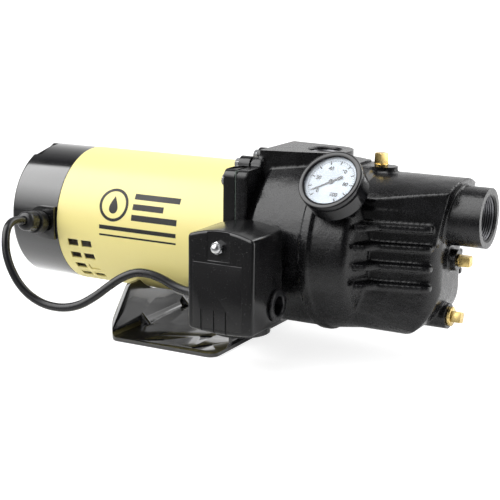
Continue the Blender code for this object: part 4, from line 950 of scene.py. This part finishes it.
def foot(edge):
    x0, x1, half, t = FOOT_LOW.x, FOOT_HIGH.x, FOOT_HIGH.y, 4.0
    top = FOOT_HIGH.z
    tab_x = SHELL_HIGH.x
    corner = 10.0
    outline = ([(x0, -half), (x1 - corner, -half)] + arc((x1 - corner, -half + corner), corner, -75, 0, 8)
               + arc((x1 - corner, half - corner), corner, 0, 75, 8) + [(x1 - corner, half), (x0, half)])
    base = plate("base", outline, X_AXIS, Y_AXIS, 0, t)
    saddle = ([(-half, 0.5), (half, 0.5), (half, 7.0), (72.0, top - 3), (68.0, top)] + cradle(top)
              + [(-68.0, top), (-72.0, top - 3), (-half, 7.0)])
    upright = plate("saddle", saddle, Y_AXIS, Z_AXIS, x0, x0 + t)
    tab_outline = [(-58, 0.5), (58, 0.5), (58, 46)] + cradle(46) + [(-58, 46)]
    tab = plate("tab", tab_outline, Y_AXIS, Z_AXIS, tab_x - t, tab_x)
    bend = [(x0 + t - 0.5, t - 0.5), (x0 + t + 6, t - 0.5)] + arc((x0 + t + 6, t + 6), 6, -90, -180, 8)
    bend_fill = plate("bend", bend, X_AXIS, Z_AXIS, -half, half)
    gussets = []
    for y in (-45, 40):
        triangle = [(x0 + 1, 1), (x0 + 15, 1), (x0 + 15, t + 0.3), (x0 + t + 0.3, 15), (x0 + 1, 15)]
        gusset = plate("gusset", triangle, X_AXIS, Z_AXIS, -y - 2.4, -y + 2.4)
        gussets.append(rounded(gusset, 2.0, 4, 50))
    body = joined("foot", [base, upright, tab, bend_fill] + gussets)
    rear = 13.0
    plan = (arc((x0 + rear, -half + rear), rear, 180, 270, 8)
            + [(x1 + 5, -half - 0.01), (x1 + 5, half + 0.01)]
            + arc((x0 + rear, half - rear), rear, 90, 180, 8))
    body = combine(body, [plate("plan", plan, X_AXIS, Y_AXIS, 0, 80)], "INTERSECT")
    outer = arc((x0 + 9, 9), 9, 180, 270, 12) + [(x1 + 5, 0), (x1 + 5, 80), (x0, 80)]
    body = combine(body, [plate("side", outer, X_AXIS, Z_AXIS, -half - 5, half + 5)], "INTERSECT")
    cutters = [slot_cutter(x, side * y, length, width, -side * angle) for side in (-1, 1)
               for x, y, length, width, angle in FOOT_SLOTS]
    cutters += [cylinder("hole", (tab_x - 9, y, 39.5), X_AXIS, 12, 4.0, 24) for y in (-50.0, 50.0)]
    body = rounded(combine(body, cutters, "DIFFERENCE"), edge / MM, 3, 40)
    body.name = "foot_sheet"
    return fitted(body, "black_enamel", "black_enamel", "foot_bracket")


# ---- pressure gauge -----------------------------------------------------------------------
DIAL_ZERO, DIAL_SWEEP = 226.0, 288.0


def on_dial(radius, angle):
    """A point on the dial, as (right, up) from its centre; angle in degrees."""
    return radius * cos(radians(angle)), radius * sin(radians(angle))


def dial_print():
    """Black scale on the dial: ticks every 2 with longer ones every 10, and the numbers 0 to 100."""
    lift, ink = 0.02, 0.06
    pieces = []
    for value in range(0, 101, 2):
        angle = DIAL_ZERO - DIAL_SWEEP * value / 100
        long = value % 10 == 0
        inner, outer, half = (19.6, 23.4, 0.62) if long else (22.0, 23.4, 0.2)
        corners = [(inner, -half), (outer, -half * 1.3), (outer, half * 1.3), (inner, half)]
        turn = radians(angle)
        outline = [(r * cos(turn) - s * sin(turn), r * sin(turn) + s * cos(turn)) for r, s in corners]
        pieces.append(plate("tick", outline, GAUGE_RIGHT, GAUGE_UP, lift, lift + ink, GAUGE_FACE))
    line = arc((0, 0), 23.8, DIAL_ZERO, DIAL_ZERO - DIAL_SWEEP, 60)
    back = arc((0, 0), 23.5, DIAL_ZERO - DIAL_SWEEP, DIAL_ZERO, 60)
    pieces.append(plate("scale", line + back, GAUGE_RIGHT, GAUGE_UP, lift, lift + ink, GAUGE_FACE))
    for value in range(0, 101, 20):
        across, up = on_dial(15.4, DIAL_ZERO - DIAL_SWEEP * value / 100)
        text = bpy.data.curves.new("number", "FONT")
        text.body = str(value)
        text.size = 5.6 * MM
        text.align_x, text.align_y = "CENTER", "CENTER"
        text.extrude = ink / 2 * MM
        text.offset = 0.3 * MM
        number = added("number", text)
        place = GAUGE_FACE + GAUGE_RIGHT * across + GAUGE_UP * up + GAUGE_N * (lift + ink / 2)
        turn = Matrix((GAUGE_RIGHT, GAUGE_UP, GAUGE_N)).transposed().to_4x4()
        number.matrix_world = Matrix.Translation(place * MM) @ turn
        pieces.append(frozen(number))
    return fitted(grouped("dial_print", pieces), "dial_ink", "black_plastic")


def gauge(steps):
    n, face = GAUGE_N, GAUGE_FACE
    r, rear = 32.0, -22.5
    profile = ([(26.2, 3.0), (26.2, 3.6), (27.2, 4.5), (29.4, 5.0)] + arc((30.4, 3.0), 1.7, 80, 0, 6)
               + [(r, -2.6), (r - 0.5, -3.6), (r - 1.2, -4.0), (r - 1.2, rear + 3)]
               + arc((r - 4.4, rear + 3.2), 3.2, 0, -90, 8)
               + [(7.4, rear), (7.4, rear + 1.5), (r - 5, rear + 1.5), (r - 3, rear + 3.4), (r - 3, 2.9)])
    fitted(turned("gauge_shell", profile, face, n, steps), "gauge_black", "black_plastic",
           "gauge_case")
    lens = [(0, 2.7), (28.2, 2.7), (28.6, 2.5), (28.6, 1.5), (0, 1.5)]
    fitted(turned("gauge_window", lens, face, n, steps), "gauge_glass", "gauge_glass",
           "gauge_lens")
    dial = [(28.2, 0), (28.2, -0.8), (1.9, -0.8), (1.9, 0)]
    fitted(turned("dial_plate", dial, face, n, steps), "dial_white", "dial_white", "gauge_dial")
    dial_print()
    zero = frame_pointer_direction()
    side = n.cross(zero)
    outline = [(-12, -1.4), (-11, -1.8), (-8, -1.7), (-5.5, -1.0), (-3, -0.9), (18, -0.75), (22.3, 0),
               (18, 0.75), (-3, 0.9), (-5.5, 1.0), (-8, 1.7), (-11, 1.8), (-12, 1.4)]
    needle = plate("needle", outline, zero, side, 0.4, 0.75, face)
    hub = turned("hub", [(0, 0.3), (2.6, 0.3), (2.6, 1.0), (2.1, 1.3), (0, 1.35)], face, n, 32)
    fitted(grouped("pointer", [needle, hub]), "dial_ink", "black_plastic", "gauge_pointer", body="pointer")


def frame_pointer_direction():
    """Direction in which the frame's pointer lies, from its farthest point."""
    points = [v.co / MM - GAUGE_FACE for v in frame["nodes"]["gauge_pointer"].data.vertices]
    far = max(points, key=lambda p: p.length)
    return (far - GAUGE_N * far.dot(GAUGE_N)).normalized()


# ---- pressure switch ----------------------------------------------------------------------
def cover_outline(inset):
    """Front view of the switch's cover: an arched top, round corners and a slightly bowed bottom."""
    x0, x1 = COVER_LOW.x + inset, COVER_HIGH.x - inset
    z0, z1 = 45.0 + inset, COVER_HIGH.z - 7.0 - inset
    middle, half, r = (x0 + x1) / 2, (x1 - x0) / 2, 5.0 - inset
    reach = (half - r) / half
    steps = [reach * i / 8 for i in range(-8, 9)]
    top = [(middle - half * t, z1 + 7.0 * (1 - t * t)) for t in steps]
    bottom = [(middle + half * t, z0 - 2.5 * (1 - t * t)) for t in steps]
    lift, drop = top[0][1] - r, bottom[0][1] + r
    return (bottom + arc((x1 - r, drop), r, -70, -10, 4) + arc((x1 - r, lift), r, 10, 70, 4)
            + top + arc((x0 + r, lift), r, 110, 170, 4) + arc((x0 + r, drop), r, 190, 250, 4))


def switch_cover():
    wall, front, back = 2.0, COVER_LOW.y, -93.0
    body = plate("cover", cover_outline(0), X_AXIS, Z_AXIS, -back, -front)
    lip = body.modifiers.new("rounding", "BEVEL")
    lip.width, lip.segments = 3.0 * MM, 5
    lip.limit_method, lip.angle_limit = "ANGLE", radians(60)
    lip.use_clamp_overlap = False
    body = frozen(body)
    panel = box("panel", (69.0, front - 0.3, 47.5), (123.0, front + 2, 112.0))
    body = joined("cover", [body, rounded(panel, 0.45, 3)])
    hollow = plate("hollow", cover_outline(wall), X_AXIS, Z_AXIS, -back - 10, -front - wall - 1.5)
    cutters = [hollow, box("neck_notch", (76, -135.5, 38), (122, -85, 50))]
    for x in (COVER_LOW.x, COVER_HIGH.x):
        cutters.append(box("side_notch", (x - 6, -118.5, 54.5), (x + 6, -85, 77.5)))
    body = combine(body, cutters, "DIFFERENCE")
    recess = rounded(box("recess", (84.5, front - 6, 114), (109.5, front + 0.8, 160)), 0.7, 3)
    grooves = [rounded(box("groove", (x - 1.0, front - 5, 30), (x + 1.0, front + 1.2, 66)), 0.45, 2)
               for x in (79.0, 93.0, 106.0)]
    stud = cylinder("stud_hole", (STUD_X, front - 5, STUD_Z), Y_AXIS, 20, 3.2, 24)
    body = combine(body, [recess, stud] + grooves, "DIFFERENCE")
    body.name = "switch_hood"
    return fitted(body, "switch_enamel", "black_enamel", "switch_cover", body="cover")


def cover_nut():
    """Acorn nut: a hexagon with a chamfered crown under a round dome."""
    seat, n = (STUD_X, NUT_HIGH.y, STUD_Z), -Y_AXIS
    hexagon = cylinder("hexagon", seat, n, 5.5, 6.6, 6)
    crown = turned("crown", [(0, 0), (6.7, 0), (6.7, 4.4), (5.6, 5.5), (0, 5.5)], seat, n, 48)
    hexagon = rounded(combine(hexagon, [crown], "INTERSECT"), 0.3, 2)
    profile = [(0, 10.4)] + arc((0, 4.8), 5.6, 84, 0, 10) + [(5.6, 4.0), (0, 4.0)]
    dome = turned("dome", profile, seat, n, 48)
    nut = grouped("hood_nut", [hexagon, dome])
    return fitted(nut, "zinc_plate", "zinc_plate", "cover_nut", body="cover_nut")


def grommet():
    side = COVER_HIGH.x + 0.3
    middle = node_middle("switch_grommet")
    profile = ([(10.6, side + 0.2), (16.2, side + 0.2), (16.2, side + 1.4)]
               + arc((14.6, side + 1.6), 1.6, 0, 90, 5) + arc((10.8, side + 1.6), 1.6, 90, 180, 5)
               + [(9.2, 127.4), (13.4, 127.4), (13.4, 129.2), (10.6, 129.2)])
    ring = turned("cable_grommet", profile, (0, middle.y, middle.z), X_AXIS, 64)
    return fitted(ring, "rubber", "rubber", "switch_grommet")


def switch_tab():
    """Small clip of the base that shows at the hood's left edge."""
    tab = rounded(box("base_clip", (COVER_LOW.x - 2.4, -100, 104), (COVER_LOW.x - 0.3, -88.5, 111)), 0.4, 2)
    return fitted(tab, "switch_enamel", "black_enamel")


# ---- stage --------------------------------------------------------------------------------
def area_light(name, place, target, width, height, power):
    data = bpy.data.lights.new(name, "AREA")
    data.shape = "RECTANGLE"
    data.size, data.size_y = width, height
    data.energy = power
    light = added(name, data)
    light.location = place
    light.rotation_euler = (target - place).to_track_quat("-Z", "Y").to_euler()


FLOOR_R, FLOOR_GAP = 14.0, 0.0004
# FLOOR_PAINTED_SHADE is painted shade: the floor's colour in reflections close to the camera.
FLOOR_SEEN, FLOOR_MIRRORED, FLOOR_PAINTED_SHADE = 0.4, 0.92, 0.05
SURROUND_DARK, SURROUND_BRIGHT = (0.07, 0.07, 0.075, 1), (1, 1, 1, 1)
# Area lights: name, place from the pump's middle, width, height and power as a share of the key.
LIGHTS = (("behind", (0.5, 0.9, 1.1), 1.1, 0.8, 1.4), ("right_panel", (1.3, 0.5, 0.4), 0.5, 0.9, 0.9))
CAMERA_PLACE = (0.6865, -1.1833, 0.3987)
CAMERA_AZIMUTH, CAMERA_ELEVATION, CAMERA_ROLL = radians(28.37), radians(12.95), radians(0.66)
CAMERA_LENS, CAMERA_SENSOR = 92.73, 36.0


def studio_world(key):
    """White to the camera; in reflections bright behind the pump and dark on the camera's side,
    with one wide soft glow from the front left that ends sharply overhead."""
    world = bpy.data.worlds.new("studio")
    bpy.context.scene.world = world
    world.use_nodes = True
    tree = world.node_tree
    surround = tree.nodes["Background"]
    direction = tree.nodes.new("ShaderNodeTexCoord").outputs["Generated"]
    behind = placed(tree, "ShaderNodeVectorMath", {0: direction}, operation="DOT_PRODUCT")
    behind.inputs[1].default_value = (0.35, 0.9, -0.25)
    share = spread(tree, behind.outputs["Value"], -0.25, 0.6, 0.0, 1.0)
    ramp = placed(tree, "ShaderNodeValToRGB", {"Fac": share})
    ramp.color_ramp.elements[0].color = SURROUND_DARK
    ramp.color_ramp.elements[1].color = SURROUND_BRIGHT
    parts = placed(tree, "ShaderNodeSeparateXYZ", {"Vector": direction}).outputs
    glow = math(tree, "MULTIPLY", spread(tree, parts["Z"], 0.0, 0.6, 0.0, 1.0),
                spread(tree, parts["Y"], 0.04, -0.03, 0.0, 1.0))
    glow = math(tree, "MULTIPLY", glow, spread(tree, parts["X"], 0.2, -0.25, 0.0, 1.0))
    glow = math(tree, "MULTIPLY", glow, key)
    whole = placed(tree, "ShaderNodeVectorMath", {0: ramp.outputs["Color"], 1: glow}, operation="ADD")
    tree.links.new(whole.outputs["Vector"], surround.inputs["Color"])
    backdrop = placed(tree, "ShaderNodeBackground", Strength=1.0)
    backdrop.inputs["Color"].default_value = SURROUND_BRIGHT
    seen = tree.nodes.new("ShaderNodeLightPath").outputs["Is Camera Ray"]
    mix = placed(tree, "ShaderNodeMixShader", {0: seen, 1: surround.outputs[0], 2: backdrop.outputs[0]})
    tree.links.new(mix.outputs[0], tree.nodes["World Output"].inputs["Surface"])


def floor_material():
    """Pale floor; its mirror image in the pump darkens towards the camera, as in a dark studio, by painted shade
    in the floor's colour for reflections.
    """
    made, tree, shader = new_material("pale_floor", Roughness=0.8)
    shader.inputs["Base Color"].default_value = (*[FLOOR_SEEN] * 3, 1)
    shader.inputs["Emission Color"].default_value = (1, 1, 1, 1)
    shader.inputs["Emission Strength"].default_value = 0.8
    mirrored = tree.nodes.new("ShaderNodeBsdfPrincipled")
    mirrored.inputs["Roughness"].default_value = 0.8
    place = tree.nodes.new("ShaderNodeTexCoord").outputs["Object"]
    depth = placed(tree, "ShaderNodeSeparateXYZ", {"Vector": place}).outputs["Y"]
    # Painted shade: for reflections the floor's colour falls from pale to dark towards the camera.
    near = spread(tree, depth, -0.42, -0.12, 0.0, 1.0)
    shades = blended(tree, near, [FLOOR_PAINTED_SHADE] * 3, [FLOOR_MIRRORED] * 3)
    tree.links.new(shades, mirrored.inputs["Base Color"])
    seen = tree.nodes.new("ShaderNodeLightPath").outputs["Is Camera Ray"]
    mix = placed(tree, "ShaderNodeMixShader", {0: seen, 1: mirrored.outputs[0], 2: shader.outputs[0]})
    tree.links.new(mix.outputs[0], tree.nodes["Material Output"].inputs["Surface"])
    return made


def studio(key):
    form = bmesh.new()
    bmesh.ops.create_circle(form, cap_ends=True, segments=64, radius=FLOOR_R)
    form.transform(Matrix.Translation((0, 0, -FLOOR_GAP)))
    floor = shaped("floor", form)
    floor.data.materials.append(floor_material())
    middle = (cad_box[0] + cad_box[1]) / 2
    for name, place, width, height, share in LIGHTS:
        area_light(name, middle + Vector(place), middle, width, height, key * share)
    studio_world(key)
    bpy.context.scene.view_settings.view_transform = "Standard"


def camera():
    """Long-lens view from the gauge side and the suction end, a little above."""
    data = bpy.data.cameras.new("camera")
    data.lens, data.sensor_width = CAMERA_LENS, CAMERA_SENSOR
    azimuth, elevation, roll = CAMERA_AZIMUTH, CAMERA_ELEVATION, CAMERA_ROLL
    back = Vector((sin(azimuth) * cos(elevation), -cos(azimuth) * cos(elevation), sin(elevation)))
    level = (-back).cross(Z_AXIS).normalized()
    above = level.cross(-back)
    right = level * cos(roll) + above * sin(roll)
    up = above * cos(roll) - level * sin(roll)
    eye = added("camera", data)
    turn = Matrix((right, up, back)).transposed().to_4x4()
    eye.matrix_world = Matrix.Translation(CAMERA_PLACE) @ turn
    bpy.context.scene.camera = eye


# ---- operators ----------------------------------------------------------------------------
class PUMP_OT_stage(bpy.types.Operator):
    """Make the finishes, the camera, the floor and the lights"""

    bl_idname = "pump.stage"
    bl_label = "Stage"

    def execute(self, context):
        for thing in [o for o in context.scene.objects if o.type in {"CAMERA", "LIGHT"}]:
            bpy.data.objects.remove(thing, do_unlink=True)
        make_finishes(context.scene.pump_finishes)
        dress_frame()
        camera()
        studio(context.scene.pump_sizes.light_power)
        return {"FINISHED"}


class PUMP_OT_lead(bpy.types.Operator):
    """Make the motor's lead with its gland and its strain relief"""

    bl_idname = "pump.lead"
    bl_label = "Motor Lead"

    def execute(self, context):
        diameter = context.scene.pump_sizes.lead_diameter
        lead, length = motor_lead(diameter)
        body, nut = gland()
        sleeve = strain_relief()
        return {"FINISHED"}


class PUMP_OT_motor(bpy.types.Operator):
    """Make the motor's shell with its vents and mark, and its rear cap"""

    bl_idname = "pump.motor"
    bl_label = "Motor"

    def execute(self, context):
        steps = context.scene.pump_sizes.round_steps
        motor_shell(steps)
        shell_mark()
        rear_cap(steps)
        return {"FINISHED"}


class PUMP_OT_castings(bpy.types.Operator):
    """Make the adapter and the pump casing, with the port threads"""

    bl_idname = "pump.castings"
    bl_label = "Castings"

    def execute(self, context):
        adapter()
        pump_casing(context.scene.pump_sizes.casting_voxel)
        threads("suction_thread", (274, 0, SUCTION_Z), X_AXIS, SUCTION_BORE_R, 2.2, 15)
        threads("discharge_thread", (DISCHARGE_X, 0, 176), Z_AXIS, DISCHARGE_BORE_R - 1.2, 2.2, 12)
        return {"FINISHED"}


class PUMP_OT_fasteners(bpy.types.Operator):
    """Make the flange bolts, the bracket bolts and the brass plugs"""

    bl_idname = "pump.fasteners"
    bl_label = "Bolts and Plugs"

    def execute(self, context):
        bolts()
        plugs()
        return {"FINISHED"}


class PUMP_OT_foot(bpy.types.Operator):
    """Make the bent sheet foot"""

    bl_idname = "pump.foot"
    bl_label = "Foot"

    def execute(self, context):
        foot(context.scene.pump_sizes.edge_radius)
        return {"FINISHED"}


class PUMP_OT_gauge(bpy.types.Operator):
    """Make the pressure gauge with its dial, pointer and window"""

    bl_idname = "pump.gauge"
    bl_label = "Pressure Gauge"

    def execute(self, context):
        gauge(context.scene.pump_sizes.round_steps)
        return {"FINISHED"}


class PUMP_OT_switch(bpy.types.Operator):
    """Make the pressure switch's hood, nut, clip and cable grommet"""

    bl_idname = "pump.switch"
    bl_label = "Pressure Switch"

    def execute(self, context):
        switch_cover()
        cover_nut()
        grommet()
        switch_tab()
        return {"FINISHED"}


class PUMP_PT_panel(bpy.types.Panel):
    """Lists the pump's sizes, finishes and making steps"""

    bl_label = "Jet Pump"
    bl_idname = "PUMP_PT_panel"
    bl_space_type = "VIEW_3D"
    bl_region_type = "UI"
    bl_category = "Pump"

    def draw(self, context):
        for group in (context.scene.pump_sizes, context.scene.pump_finishes):
            column = self.layout.column(align=True)
            for name in group.__annotations__:
                column.prop(group, name)
        for operator in OPERATORS:
            self.layout.operator(operator.bl_idname)


OPERATORS = (PUMP_OT_stage, PUMP_OT_lead, PUMP_OT_motor, PUMP_OT_castings, PUMP_OT_fasteners, PUMP_OT_foot,
             PUMP_OT_gauge, PUMP_OT_switch)
CLASSES = (PumpSizes, PumpFinishes) + OPERATORS + (PUMP_PT_panel,)


def register():
    for made in CLASSES:
        bpy.utils.register_class(made)
    bpy.types.Scene.pump_sizes = PointerProperty(type=PumpSizes)
    bpy.types.Scene.pump_finishes = PointerProperty(type=PumpFinishes)


def unregister():
    del bpy.types.Scene.pump_finishes
    del bpy.types.Scene.pump_sizes
    for made in reversed(CLASSES):
        bpy.utils.unregister_class(made)


def main():
    register()
    for operator in OPERATORS:
        getattr(bpy.ops.pump, operator.bl_idname.partition(".")[2])()


if __name__ == "__main__":
    main()
